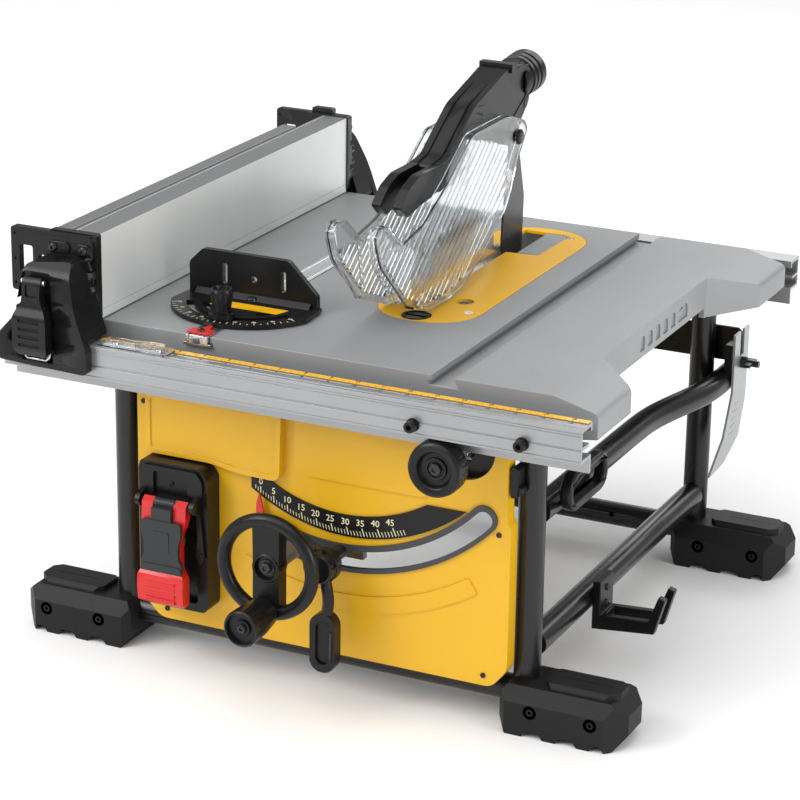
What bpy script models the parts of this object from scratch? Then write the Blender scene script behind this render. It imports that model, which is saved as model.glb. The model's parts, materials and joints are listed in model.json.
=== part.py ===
"""A compact jobsite table saw: one object for each piece, grouped under empties that sit on the joints.

Lengths below are millimetres and the shape helpers turn them into metres.  The working frame has X to the
operator's right with 0 on the table's centreline, Y away from the operator with 0 on the table's front
edge, and Z up from the floor.  ORIGIN is the point of that frame that becomes the world origin.
"""

import bmesh
import bpy
from math import atan2, cos, degrees, hypot, pi, radians, sin
from mathutils import Matrix, Vector

MM = 0.001
GAP = 0.3  # clearance between neighbouring pieces
ORIGIN = (0.0, 231.25, 0.0)

# table
TOP_Z = 334.0
TABLE_DEPTH = 499.0
TABLE_THICK = 40.0
SKIN = 6.0
RIDGE_X = 243.0
WING_X = 285.0
WING_DROP = 11.0
WING_LENGTH = 115.0
SLOT_X = (-101.8, 140.4)
SLOT_HALF = 11.3
SLOT_DEEP = 5.8
TEE_HALF = 14.0
TEE_DEEP = 9.4
THROAT_X = (-3.4, 97.6)
THROAT_Y = (130.0, 470.0)
THROAT_RADIUS = 45.0
LEDGE = 5.5
PLATE_THICK = 3.0

# blade, on the bevel axis
BLADE_X = 30.0
BLADE_Y = 273.0
BLADE_RADIUS = 105.0
BLADE_CUT = 65.0
BLADE_TEETH = 24
KERF_HALF = 0.9
ARBOR_RADIUS = 7.7
BLADE_Z = TOP_Z + BLADE_CUT - BLADE_RADIUS

# legs, tubes and feet
LEG_X = 206.5
LEG_Y = (50.0, 488.0)
TUBE_RADIUS = 12.5
LOW_TUBE_Z = 30.0
SIDE_LOW_Z = 71.0
SIDE_HIGH_Z = 199.0
FOOT_INNER_X = 192.0
FOOT_OUTER_X = 312.0
FOOT_HALF_DEPTH = 35.0
FOOT_HEIGHT = 45.0
PAD_HEIGHT = 5.0

# front panel
PANEL_Y = (20.0, 36.0)
PANEL_WALL = 3.0
ARC_RADII = (184.0, 207.0)
ARC_ANGLES = (-19.0, 51.0)
SCALE_RADII = (151.0, 181.0)
SCALE_ANGLES = (-27.0, 43.0)

# bevel and height drives
WHEEL_X = BLADE_X - 38.0
WHEEL_Z = TOP_Z - 190.0
WHEEL_RADIUS = 44.5
RIM_RADIUS = 6.5
CRANK_RADIUS = 41.0
SCREW_Y = 80.0
LOCK_X = BLADE_X + 4.0
LOCK_Z = TOP_Z - 190.0

# rails, rack and pinion
RAIL_X = (-283.4, 286.0)
RAIL_BACK = -15.7
RAIL_FRONT = -40.0
PINION_X = 152.6
PINION_Z = TOP_Z - 70.0
GEAR_MODULE = 2.0
GEAR_TEETH = 12
RACK_X = (-180.0, 165.0)
BACKLASH = 0.7

# rip fence
FENCE_FACE_X = -202.4
FENCE_SPLIT_X = -233.4
FENCE_LEFT_X = -248.4
FENCE_Z = (TOP_Z + 1.3, TOP_Z + 81.0)
FENCE_Y = (-1.0, 495.0)
LATCH_PIVOT_Y = -49.5
LATCH_PIVOT_Z = TOP_Z + 43.0
LATCH_X = (-261.0, -225.5)

# mitre gauge
GAUGE_X = SLOT_X[0]
GAUGE_PIVOT_Y = 100.0
GAUGE_RADIUS = 75.0
GAUGE_CLAMP_Y = 43.0

# blade guard
SPINE_HALF = 15.0
SHELL_NEAR = 16.5
SHELL_FAR = 24.5
GUARD_PIVOT = (353.0, TOP_Z + 124.0)

# switch
SWITCH_X = (-165.0, -93.0)
SWITCH_Z = (64.0, 206.0)
FLAP_PIVOT = (-14.0, 172.0)


def clear_scene():
    for obj in list(bpy.data.objects):
        bpy.data.objects.remove(obj, do_unlink=True)


def new_collection(name, hidden=False):
    collection = bpy.data.collections.new(name)
    bpy.context.scene.collection.children.link(collection)
    collection.hide_render = hidden
    return collection


clear_scene()
PARTS = new_collection("table_saw")
CUTTERS = new_collection("cutters", hidden=True)
MATERIALS = {}
LOOKS = {  # colour, roughness, metallic
    "table_grey": ((0.38, 0.39, 0.40), 0.42, 0.6),
    "yellow": ((0.91, 0.50, 0.012), 0.4, 0.0),
    "black_plastic": ((0.018, 0.018, 0.019), 0.5, 0.0),
    "powder_black": ((0.016, 0.016, 0.017), 0.35, 0.2),
    "rubber": ((0.022, 0.022, 0.023), 0.75, 0.0),
    "aluminium": ((0.72, 0.73, 0.74), 0.3, 1.0),
    "steel": ((0.62, 0.63, 0.65), 0.28, 1.0),
    "dark_steel": ((0.07, 0.072, 0.078), 0.4, 0.8),
    "cast_grey": ((0.30, 0.31, 0.32), 0.5, 0.8),
    "red": ((0.72, 0.018, 0.016), 0.35, 0.0),
    "flap_grey": ((0.075, 0.08, 0.085), 0.45, 0.0),
    "green": ((0.03, 0.35, 0.06), 0.4, 0.0),
    "clear": ((0.93, 0.95, 0.96), 0.05, 0.0),
}


def material(name):
    if name in MATERIALS:
        return MATERIALS[name]
    colour, roughness, metallic = LOOKS[name]
    made = bpy.data.materials.new(name)
    made.use_nodes = True
    shader = made.node_tree.nodes["Principled BSDF"]
    shader.inputs["Base Color"].default_value = (*colour, 1.0)
    shader.inputs["Roughness"].default_value = roughness
    shader.inputs["Metallic"].default_value = metallic
    if name == "clear":
        shader.inputs["Alpha"].default_value = 0.3
    MATERIALS[name] = made
    return made


def vec(x, y, z):
    return Vector((x, y, z)) * MM


def place(mesh, name, look, matrix=None):
    """A new object from a mesh: a part when it has a look, and otherwise a cutter."""
    obj = bpy.data.objects.new(name, mesh)
    (PARTS if look else CUTTERS).objects.link(obj)
    if look:
        mesh.materials.append(material(look))
    else:
        obj.hide_render = True
        obj.display_type = "WIRE"
    if matrix is not None:
        obj.matrix_world = matrix
    return obj


def box(low, high, name="cutter", look=None):
    bm = bmesh.new()
    bmesh.ops.create_cube(bm, size=1.0)
    size = Vector(high) - Vector(low)
    bmesh.ops.scale(bm, vec=size * MM, verts=bm.verts)
    mesh = bpy.data.meshes.new(name)
    bm.to_mesh(mesh)
    bm.free()
    middle = (Vector(high) + Vector(low)) / 2
    return place(mesh, name, look, Matrix.Translation(middle * MM))


def facing(start, end):
    """The turn that takes +Z to the direction from start to end."""
    return (end - start).to_track_quat("Z", "Y").to_matrix().to_4x4()


def smooth(mesh):
    mesh.shade_smooth()
    mesh.set_sharp_from_angle(angle=radians(35))


def rod(start, end, radius, name="cutter", look=None, sides=16):
    """A plain cylinder between two points."""
    start, end = Vector(start), Vector(end)
    bm = bmesh.new()
    bmesh.ops.create_cone(
        bm,
        cap_ends=True,
        segments=sides,
        radius1=radius * MM,
        radius2=radius * MM,
        depth=(end - start).length * MM,
    )
    mesh = bpy.data.meshes.new(name)
    bm.to_mesh(mesh)
    bm.free()
    smooth(mesh)
    return place(mesh, name, look, Matrix.Translation((start + end) / 2 * MM) @ facing(start, end))


def realise(source, name, look):
    """The evaluated mesh of a curve or of a mesh with modifiers, welded, in place of its source."""
    bpy.context.view_layer.update()
    graph = bpy.context.evaluated_depsgraph_get()
    mesh = bpy.data.meshes.new_from_object(source.evaluated_get(graph))
    mesh.name = name
    bm = bmesh.new()
    bm.from_mesh(mesh)
    bmesh.ops.remove_doubles(bm, verts=bm.verts, dist=1e-6)
    bmesh.ops.recalc_face_normals(bm, faces=bm.faces)
    bm.to_mesh(mesh)
    bm.free()
    matrix = source.matrix_world.copy()
    bpy.data.objects.remove(source, do_unlink=True)
    mesh.materials.clear()
    return place(mesh, name, look, matrix)


def lathe(start, end, profile, name="cutter", look=None, sides=20):
    """A turned shape from start towards end; the profile is (distance from start, radius) pairs."""
    start, end = Vector(start), Vector(end)
    points = [(profile[0][0], 0), *profile, (profile[-1][0], 0)]
    mesh = bpy.data.meshes.new(name)
    bm = bmesh.new()
    verts = [bm.verts.new(vec(radius, 0, height)) for height, radius in reversed(points)]
    for upper, lower in zip(verts, verts[1:]):
        bm.edges.new((upper, lower))
    bm.to_mesh(mesh)
    bm.free()
    source = place(mesh, name, None, Matrix.Translation(start * MM) @ facing(start, end))
    screw = source.modifiers.new("turn", "SCREW")
    screw.steps = sides
    screw.render_steps = sides
    screw.use_merge_vertices = True
    screw.merge_threshold = 1e-5
    made = realise(source, name, look)
    smooth(made.data)
    return made


PLANES = {
    "x": Matrix(((0, 0, 1), (1, 0, 0), (0, 1, 0))).to_4x4(),
    "y": Matrix(((1, 0, 0), (0, 0, -1), (0, 1, 0))).to_4x4(),
    "z": Matrix.Identity(4),
}
ALONG = {"x": Vector((1, 0, 0)), "y": Vector((0, 1, 0)), "z": Vector((0, 0, 1))}


def slab(outline, thickness, name, look):
    """A simple outline as one face, which Solidify thickens to both sides."""
    bm = bmesh.new()
    bm.faces.new([bm.verts.new(vec(u, v, 0)) for u, v in outline])
    mesh = bpy.data.meshes.new(name)
    bm.to_mesh(mesh)
    bm.free()
    made = place(mesh, name, look)
    solid = made.modifiers.new("thickness", "SOLIDIFY")
    solid.thickness = thickness * MM
    solid.offset = 0
    return made


def pierced_slab(outline, holes, thickness, name, look):
    """An outline with holes in it, as a filled flat curve."""
    curve = bpy.data.curves.new(name, "CURVE")
    curve.dimensions = "2D"
    curve.fill_mode = "BOTH"
    curve.extrude = thickness / 2 * MM
    for points in (outline, *holes):
        spline = curve.splines.new("POLY")
        spline.points.add(len(points) - 1)
        for point, (u, v) in zip(spline.points, points):
            point.co = (u * MM, v * MM, 0.0, 1.0)
        spline.use_cyclic_u = True
    source = bpy.data.objects.new(name, curve)
    CUTTERS.objects.link(source)
    return realise(source, name, look)


def prism(outline, axis, low, high, name="cutter", look=None, holes=()):
    """A flat outline, in the two axes other than the given one, thickened from low to high along it."""
    if holes:
        made = pierced_slab(outline, holes, high - low, name, look)
    else:
        made = slab(outline, high - low, name, look)
    made.matrix_world = Matrix.Translation(ALONG[axis] * (low + high) / 2 * MM) @ PLANES[axis]
    return made


def tube(points, radius, name="cutter", look=None, resolution=3):
    curve = bpy.data.curves.new(name, "CURVE")
    curve.dimensions = "3D"
    curve.bevel_depth = radius * MM
    curve.bevel_resolution = resolution
    curve.use_fill_caps = True
    spline = curve.splines.new("POLY")
    spline.points.add(len(points) - 1)
    for point, place_at in zip(spline.points, points):
        point.co = (*vec(*place_at), 1.0)
    obj = bpy.data.objects.new(name, curve)
    CUTTERS.objects.link(obj)
    made = realise(obj, name, look)
    smooth(made.data)
    return made


def arc(centre, radius, start, end, count):
    """Points on an arc, with angles in degrees counted from the first axis towards the second."""
    points = []
    for i in range(count + 1):
        turn = radians(start + (end - start) * i / count)
        points.append((centre[0] + radius * cos(turn), centre[1] + radius * sin(turn)))
    return points


def band(centre, inner, outer, start, end, count=20):
    """A ring sector; its angles are counted from straight down, positive to the right."""
    low, high = start - 90, end - 90
    return arc(centre, outer, low, high, count) + arc(centre, inner, high, low, count)


def rounded_box(low, high, radius, count=5):
    """A rectangle with round corners."""
    (x0, y0), (x1, y1) = low, high
    points = []
    for cx, cy, start in (
        (x1 - radius, y1 - radius, 0),
        (x0 + radius, y1 - radius, 90),
        (x0 + radius, y0 + radius, 180),
        (x1 - radius, y0 + radius, 270),
    ):
        points += arc((cx, cy), radius, start, start + 90, count)
    return points


def inset(points, distance):
    """A polygon moved inwards by a distance; the points run anticlockwise."""
    moved = []
    count = len(points)
    for i, (x, y) in enumerate(points):
        before = Vector(points[i - 1])
        after = Vector(points[(i + 1) % count])
        here = Vector((x, y))
        into = (here - before).normalized()
        out = (after - here).normalized()
        normal_in = Vector((-into.y, into.x))
        normal_out = Vector((-out.y, out.x))
        shift = (normal_in + normal_out) * distance / (1 + normal_in.dot(normal_out))
        moved.append(tuple(here + shift))
    return moved


def mirrored(points):
    return [(-u, v) for u, v in reversed(points)]


def boolean(obj, others, operation):
    for other in others:
        step = obj.modifiers.new(operation.lower(), "BOOLEAN")
        step.operation = operation
        step.solver = "EXACT"
        step.object = other
    return obj


def cut(obj, *others):
    return boolean(obj, others, "DIFFERENCE")


def join(obj, *others):
    return boolean(obj, others, "UNION")


def joint(name, x, y, z, parent=None):
    """An empty on a joint's axis, which its moving pieces hang from."""
    empty = bpy.data.objects.new(name, None)
    empty.empty_display_size = 0.02
    PARTS.objects.link(empty)
    empty.location = vec(x, y, z)
    hang(parent, empty)
    return empty


def hang(parent, *children):
    if parent is None:
        return
    bpy.context.view_layer.update()
    for child in children:
        child.parent = parent
        child.matrix_parent_inverse = parent.matrix_world.inverted()


# ---------------------------------------------------------------- table and throat


def table_top():
    section = [
        (-WING_X, TOP_Z - 34),
        (-RIDGE_X, TOP_Z - TABLE_THICK),
        (RIDGE_X, TOP_Z - TABLE_THICK),
        (WING_X, TOP_Z - 34),
        (WING_X, TOP_Z - WING_DROP),
        (RIDGE_X, TOP_Z),
        (-RIDGE_X, TOP_Z),
        (-WING_X, TOP_Z - WING_DROP),
    ]
    top = prism(section, "y", 0, TABLE_DEPTH, "table_top", "table_grey")
    waist = [
        (RIDGE_X, WING_LENGTH),
        (WING_X + 10, WING_LENGTH - 47),
        (WING_X + 10, TABLE_DEPTH - WING_LENGTH + 47),
        (RIDGE_X, TABLE_DEPTH - WING_LENGTH),
    ]
    low, high = TOP_Z - TABLE_THICK - 1, TOP_Z + 1
    cut(top, prism(waist, "z", low, high), prism(mirrored(waist), "z", low, high))
    for x0, x1 in ((-237, -122), (-82, -9), (161, 237)):
        cut(top, box((x0, 8, low), (x1, TABLE_DEPTH - 8, TOP_Z - SKIN)))
    for x in SLOT_X:
        cut(top, box((x - SLOT_HALF, -1, TOP_Z - SLOT_DEEP), (x + SLOT_HALF, 500, high)))
        cut(top, box((x - TEE_HALF, -2, TOP_Z - TEE_DEEP), (x + TEE_HALF, 501, TOP_Z - SLOT_DEEP + 0.1)))
    recess = rounded_box(
        (THROAT_X[0] - GAP, THROAT_Y[0] - GAP), (THROAT_X[1] + GAP, THROAT_Y[1] + GAP), THROAT_RADIUS + GAP
    )
    well = rounded_box(
        (THROAT_X[0] + LEDGE, THROAT_Y[0] + LEDGE), (THROAT_X[1] - LEDGE, THROAT_Y[1] - LEDGE), 36
    )
    cut(top, prism(recess, "z", TOP_Z - PLATE_THICK - GAP, high), prism(well, "z", low, high))
    return top


KNIFE_OPENING = [(22, 160), (36, 160), (36, 373), (69, 377), (71, 453), (64, 456), (22, 456)]
LOCK_KNOB_AT = (45.1, 146.5)
FINGER_HOLE = (67.6, 205.0)


def throat():
    outline = rounded_box((THROAT_X[0], THROAT_Y[0]), (THROAT_X[1], THROAT_Y[1]), THROAT_RADIUS)
    holes = (
        KNIFE_OPENING,
        arc(LOCK_KNOB_AT, 14.5, 0, 345, 23),
        arc(FINGER_HOLE, 9, 0, 330, 11),
    )
    plate = prism(outline, "z", TOP_Z - PLATE_THICK, TOP_Z, "throat_plate", "yellow", holes)
    x, y = LOCK_KNOB_AT
    steps = [(0, 7), (10, 7), (10.1, 14), (13.5, 14)]
    knob = lathe((x, y, TOP_Z - 13), (x, y, TOP_Z + 1), steps, "throat_lock_knob", "black_plastic", 24)
    cut(knob, box((x - 11, y - 2, TOP_Z - 2), (x + 11, y + 2, TOP_Z + 2)))
    hang(joint("throat_lock_axis", x, y, TOP_Z), knob)
    return plate


# ---------------------------------------------------------------- frame, feet and panel


def end_frame(y, name):
    """Two legs and the low tube between them, which runs on into both feet."""
    frame = rod((-290, y, LOW_TUBE_Z), (290, y, LOW_TUBE_Z), TUBE_RADIUS - GAP, name, "powder_black", 20)
    for x in (-LEG_X, LEG_X):
        join(frame, rod((x, y, LOW_TUBE_Z + 1), (x, y, TOP_Z - TABLE_THICK - GAP), TUBE_RADIUS, sides=20))
    return frame


def frames():
    made = [end_frame(LEG_Y[0], "front_leg_frame"), end_frame(LEG_Y[1], "rear_leg_frame")]
    start = LEG_Y[0] + TUBE_RADIUS + GAP
    stop = LEG_Y[1] - TUBE_RADIUS - GAP
    for side, word in ((-1, "left"), (1, "right")):
        x = side * LEG_X
        low = rod((x, start, SIDE_LOW_Z), (x, stop, SIDE_LOW_Z), TUBE_RADIUS, f"{word}_low_tube",
                     "powder_black", 16)
        outer = side * (LEG_X + 2 * TUBE_RADIUS + GAP)
        path = [(x, start, SIDE_HIGH_Z), (x + side, 300, SIDE_HIGH_Z)]
        path += [(x + side * 4, 345, SIDE_HIGH_Z), (outer - side * 5, 425, SIDE_HIGH_Z)]
        path += [(outer, 462, SIDE_HIGH_Z), (outer, 508, SIDE_HIGH_Z)]
        high = tube(path, TUBE_RADIUS - 0.3, f"{word}_high_tube", "powder_black")
        made += [low, high]
    return made


def foot(side, y, name):
    inner, outer = side * FOOT_INNER_X, side * FOOT_OUTER_X
    half = FOOT_HALF_DEPTH

    def at(distance):
        return side * (FOOT_INNER_X + distance)

    profile = [(0, 14), (8, 0), (24, 0), (29, 6), (40, 6), (45, 0), (57, 0), (62, 6), (73, 6), (78, 0),
               (90, 0), (94, 6), (100, 6), (104, 0), (109, 0), (120, 14), (120, 33), (108, FOOT_HEIGHT),
               (6, FOOT_HEIGHT), (0, 38)]
    outline = [(at(u), z) for u, z in profile]
    boot = prism(outline, "y", y - half, y + half, name, "rubber")
    corners = [(inner - side, y - half + 8), (at(8), y - half - 1), (at(104), y - half - 1),
               (outer + side, y - 14), (outer + side, y + 14), (at(104), y + half + 1),
               (at(8), y + half + 1), (inner - side, y + half - 8)]
    boolean(boot, [prism(corners, "z", -5, FOOT_HEIGHT + 5)], "INTERSECT")
    pad = [(at(46), y - 20), (at(100), y - 20), (at(108), y - 12), (at(108), y + 12), (at(100), y + 20),
           (at(46), y + 20), (at(38), y + 12), (at(38), y - 12)]
    join(boot, prism(pad, "z", FOOT_HEIGHT - 4, FOOT_HEIGHT + PAD_HEIGHT))
    bore = TUBE_RADIUS + GAP
    cut(
        boot,
        rod((at(-2), y, LOW_TUBE_Z), (side * 290.4, y, LOW_TUBE_Z), bore, sides=20),
        rod((side * LEG_X, y, LOW_TUBE_Z + 1), (side * LEG_X, y, FOOT_HEIGHT + 2), bore, sides=20),
    )
    for u in (32, 90):
        cut(boot, rod((at(u), y - half - 1, 25), (at(u), y - half + 3, 25), 6.5))
    return boot


def feet():
    made = []
    for side, word in ((-1, "left"), (1, "right")):
        for y, end in zip(LEG_Y, ("front", "rear")):
            made.append(foot(side, y, f"{end}_{word}_foot"))
    return made


PIVOT_XZ = (BLADE_X, TOP_Z)
PANEL_OUTLINE = [(-179, 62), (-157, 40), (184, 40), (199, 58), (199, 196), (195, 202), (195, 268), (-179, 268)]


def front_panel():
    front, back = PANEL_Y
    panel = prism(PANEL_OUTLINE, "y", front, back, "front_panel", "yellow")
    cut(panel, prism(inset(PANEL_OUTLINE, PANEL_WALL), "y", front + PANEL_WALL, back + 1))
    boss = [(-166, 208), (-98, 208), (-70, 203), (-27, 202), (-25, 268 - GAP), (-166, 268 - GAP)]
    join(panel, prism(boss, "y", 12, front + 1))
    cut(
        panel,
        prism(band(PIVOT_XZ, *ARC_RADII, *ARC_ANGLES), "y", front - 10, front + 6),
        rod((PINION_X, front - 5, PINION_Z), (PINION_X, back + 1, PINION_Z), 30, sides=32),
    )
    return panel


def bevel_scale():
    return prism(band(PIVOT_XZ, *SCALE_RADII, *SCALE_ANGLES), "y", 18, PANEL_Y[0] - GAP, "bevel_scale",
                 "black_plastic")


def rear_plate():
    outline = [(-240, 213), (239, 213), (243, 217), (243, 245), (239, 249), (-240, 249), (-244, 245), (-244, 217)]
    return prism(outline, "y", 501, 504, "rear_cross_plate", "powder_black")


def cord_wrap():
    """An open oval loop on the outside of the right high tube."""
    centre_y, centre_z = 122.0, 212.0
    outer = rounded_box((centre_y - 46, centre_z - 19), (centre_y + 46, centre_z + 19), 18.5)
    inner = rounded_box((centre_y - 38, centre_z - 11), (centre_y + 38, centre_z + 11), 10.5)
    x = LEG_X + TUBE_RADIUS + 1.5
    return prism(outer, "x", x, x + 12, "cord_wrap_loop", "black_plastic", (inner,))


def storage_hook():
    """A two-armed hook on the outside of the right low tube."""
    start = LEG_X + TUBE_RADIUS + GAP
    profile = [(start, 44), (start + 62, 50), (start + 72, 86), (start + 65, 88), (start + 56, 62),
               (start + 8, 59), (start + 8, 92), (start, 92)]
    hook = prism(profile, "y", 172, 206, "storage_hook", "black_plastic")
    return cut(hook, box((start + 12, 180, 30), (start + 80, 198, 95)))


def stored_knife():
    """The spare riving knife in its clip, with the wing bolt that clamps it."""
    x = 246.0
    clip = box((x - 9.5, 469, 212), (x - 1.5, 500.6, 240), "storage_clip", "black_plastic")
    top = TOP_Z - 83
    outline = [(470, top), (470, 190), (449, 148), (410, 119), (452, 121), (494, 138), (510, 176), (512, top),
               (497, top), (497, top - 26), (486, top - 26), (486, top)]
    knife = prism(outline[::-1], "x", x - 1.2, x + 1.2, "stored_riving_knife", "steel")
    bolt_y, bolt_z = 491.5, TOP_Z - 117
    cut(clip, rod((x - 12, bolt_y, bolt_z), (x, bolt_y, bolt_z), 3.4, sides=12))
    cut(knife, rod((x - 5, bolt_y, bolt_z), (x + 5, bolt_y, bolt_z), 3.4, sides=12))
    steps = [(0, 3), (8.6, 3), (8.7, 6), (14, 6), (14.1, 3.5), (27, 3.5)]
    bolt = lathe((x - 7, bolt_y, bolt_z), (x + 20, bolt_y, bolt_z), steps, "storage_wing_bolt", "dark_steel", 12)
    join(bolt, box((x + 5, bolt_y - 12, bolt_z - 1.6), (x + 14, bolt_y + 12, bolt_z + 1.6)))
    hang(joint("wing_bolt_axis", x, bolt_y, bolt_z), bolt)
    return clip, knife


# ---------------------------------------------------------------- switch


def switch():
    x0, x1 = SWITCH_X
    z0, z1 = SWITCH_Z
    outline = [(x0 + 8, z0), (x1 - 4, z0), (x1, z0 + 6), (x1, z1 - 10), (x1 - 8, z1), (x0 + 2, z1), (x0, z1 - 6),
               (x0, z0 + 12)]
    housing = prism(outline, "y", -6, PANEL_Y[0] - GAP, "switch_housing", "black_plastic")
    flap_x0, flap_x1 = x0 + 11.5, x1 - 12.5
    cut(housing, box((flap_x0 - 1.5, -7, z0 + 8), (flap_x1 + 1.5, 6, z1 - 12)))
    y, z = FLAP_PIVOT
    for ear in (flap_x0 - 6, flap_x1 + 1.5):
        join(housing, rod((ear, y, z), (ear + 4.5, y, z), 6.5))
        join(housing, box((ear, y, z - 6), (ear + 4.5, -2, z + 6)))
    flap = [(y, z + 5), (y - 6, z), (-22, 150), (-23, 112), (-29, 104), (-29, 78), (-22, 74), (-16, 76),
            (-16, 150), (-8, z - 4)]
    red = prism(flap, "x", flap_x0, flap_x1, "switch_flap", "red")
    plate = box((flap_x0 + 5, -26.5, 114), (flap_x1 - 2, -23.4, 157), "switch_flap_plate", "flap_grey")
    hang(joint("switch_flap_axis", 0, y, z), red, plate)
    middle = (flap_x0 + flap_x1) / 2
    cut(housing, rod((middle, 5, 130), (middle, 10.5, 130), 9.4, sides=20))
    button = rod((middle, 5.7, 130), (middle, -5, 130), 9, "start_button", "green", 20)
    hang(joint("start_button_axis", middle, -5, 130), button)
    return (housing,)


# ---------------------------------------------------------------- rails


def gear_outline(centre, teeth, pitch_radius):
    """Straight-flanked teeth; the first gap points straight up."""
    points = []
    pitch = 2 * pi / teeth
    tip, root = pitch_radius + 0.8 * GEAR_MODULE, pitch_radius - 1.1 * GEAR_MODULE
    half_pitch = pitch / 4 - BACKLASH / 2 / pitch_radius
    flank = 0.36
    for i in range(teeth):
        middle = pi / 2 + pitch * (i + 0.5)
        half_tip = half_pitch - (tip - pitch_radius) * flank / pitch_radius
        half_root = half_pitch + (pitch_radius - root) * flank / pitch_radius
        for radius, turn in ((root, -half_root), (tip, -half_tip), (tip, half_tip), (root, half_root)):
            points.append((centre[0] + radius * cos(middle + turn), centre[1] + radius * sin(middle + turn)))
    return points


def rack_outline(pitch_z):
    """A bar with teeth on its lower edge; one tooth points down at the pinion's centre."""
    pitch = pi * GEAR_MODULE
    half = pitch / 4
    flank = 0.36
    tip, root = pitch_z - 0.8 * GEAR_MODULE, pitch_z + 1.0 * GEAR_MODULE
    half_tip = half - (pitch_z - tip) * flank
    half_root = half + (root - pitch_z) * flank
    first = int((RACK_X[0] + 6 - PINION_X) / pitch)
    last = int((RACK_X[1] - 4 - PINION_X) / pitch)
    points = [(RACK_X[0], root)]
    for i in range(first, last + 1):
        x = PINION_X + i * pitch
        points += [(x - half_root, root), (x - half_tip, tip), (x + half_tip, tip), (x + half_root, root)]
    return points + [(RACK_X[1], root), (RACK_X[1], root + 8), (RACK_X[0], root + 8)]


def rail_section():
    """The extrusion's outline as (distance behind the front edge, height): channels open to the back."""
    return [(-40, -43), (-20, -43), (-20, -57), (-17, -57), (-17, -40), (-37, -40), (-37, -31.5), (-22, -31.5),
            (-22, -28.5), (-37, -28.5), (-37, -15), (-18.5, -15), (-18.5, -19), (RAIL_BACK, -19),
            (RAIL_BACK, -12), (-40, -12), (-40, -29.6), (-38.8, -30.2), (-38.8, -31), (-40, -31.6)]


def rail(name, rear):
    def depth(y):
        return TABLE_DEPTH - y if rear else y

    outline = [(depth(y), TOP_Z + z) for y, z in rail_section()]
    made = prism(outline, "x", *RAIL_X, name, "aluminium")
    pitch_z = PINION_Z + GEAR_MODULE * GEAR_TEETH / 2
    near, far = RACK_Y[1] if rear else RACK_Y[0]
    web_y = sorted((depth(-18), (near + far) / 2))
    web_z = pitch_z + GEAR_MODULE
    join(made, box((RACK_X[0], web_y[0], web_z + 4), (RACK_X[1], web_y[1], web_z + 7.4)))
    return join(made, prism(rack_outline(pitch_z), "y", near, far))


RACK_Y = ((5.0, 15.0), (503.5, 513.5))


def rails():
    front = rail("front_rail", False)
    rear = rail("rear_rail", True)
    ruler = box((-191, -23, TOP_Z - 11.7), (RAIL_X[1] - 1, -16, TOP_Z - 11.1), "rip_ruler", "yellow")
    hang(joint("rails_axis", 0, 0, PINION_Z), front, rear, ruler)
    cursor = box((-186, -39, TOP_Z - 10.7), (-98, -14, TOP_Z - 9.5), "rip_cursor", "clear")
    shaft = rod((PINION_X, -25.6, PINION_Z), (PINION_X, RACK_Y[1][1] + 1, PINION_Z), 4, "pinion_shaft",
                   "steel", 12)
    pitch_radius = GEAR_MODULE * GEAR_TEETH / 2
    for near, far in RACK_Y:
        teeth = gear_outline((PINION_X, PINION_Z), GEAR_TEETH, pitch_radius)
        join(shaft, prism(teeth, "y", near + 0.5, far - 0.5))
    steps = [(0, 21), (1, 25.5), (14, 25.5), (19, 23), (19.1, 17), (17, 15)]
    knob = lathe((PINION_X, -26, PINION_Z), (PINION_X, -46, PINION_Z), steps, "rail_knob", "black_plastic", 32)
    hang(joint("rail_knob_axis", PINION_X, 0, PINION_Z), shaft, knob)
    return (cursor,)


# ---------------------------------------------------------------- rip fence


def fence_head(rear, name):
    def slab(outline, y0, y1, **named):
        low, high = (TABLE_DEPTH - y1, TABLE_DEPTH - y0) if rear else (y0, y1)
        return prism(outline, "y", low, high, **named)

    cap = [(-250, TOP_Z + 3), (-201, TOP_Z + 3), (-201, TOP_Z + 82), (-250, TOP_Z + 82)]
    head = slab(cap, -9 if not rear else -6, FENCE_Y[0] - GAP if not rear else 499 - FENCE_Y[1] - GAP,
                name=name, look="black_plastic")
    lug = [(-273, 350), (-263, 350), (-263, 391), (-205, 391), (-205, 414.5), (-273, 414.5)]
    join(head, slab(lug, -13, -5))
    body = [(-283.4, 299), (-190, 296), (-190, 321), (-198, 345), (-200, 397), (-259, 391), (-262, 345),
            (-283.4, 325)]
    upper = [(-270, 323), (-191, 323), (-198, 345), (-200, 397), (-259, 391), (-262, 345)]
    join(head, slab(body, -50, -40.7), slab(upper, -42, -8))
    hollow = box((LATCH_X[0] - 1, -51, 303), (LATCH_X[1] + 1, -43, 384))
    if rear:
        hollow.location.y = TABLE_DEPTH * MM - hollow.location.y
    return cut(head, hollow)


def latch_lever(rear, name):
    y, z = LATCH_PIVOT_Y, LATCH_PIVOT_Z
    profile = [(y + 4, z + 4), (y - 2, z + 5), (y - 5, z), (y - 6, z - 22), (y - 11, z - 28), (y - 11, z - 62),
               (y - 6, z - 69), (y - 1, z - 69), (y + 4, z - 60)]
    if rear:
        profile = [(TABLE_DEPTH - u, v) for u, v in reversed(profile)]
        y = TABLE_DEPTH - y
    lever = prism(profile, "x", *LATCH_X, name, "black_plastic")
    hang(joint(f"{name}_axis", (LATCH_X[0] + LATCH_X[1]) / 2, y, z, FENCE), lever)
    return lever


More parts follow.
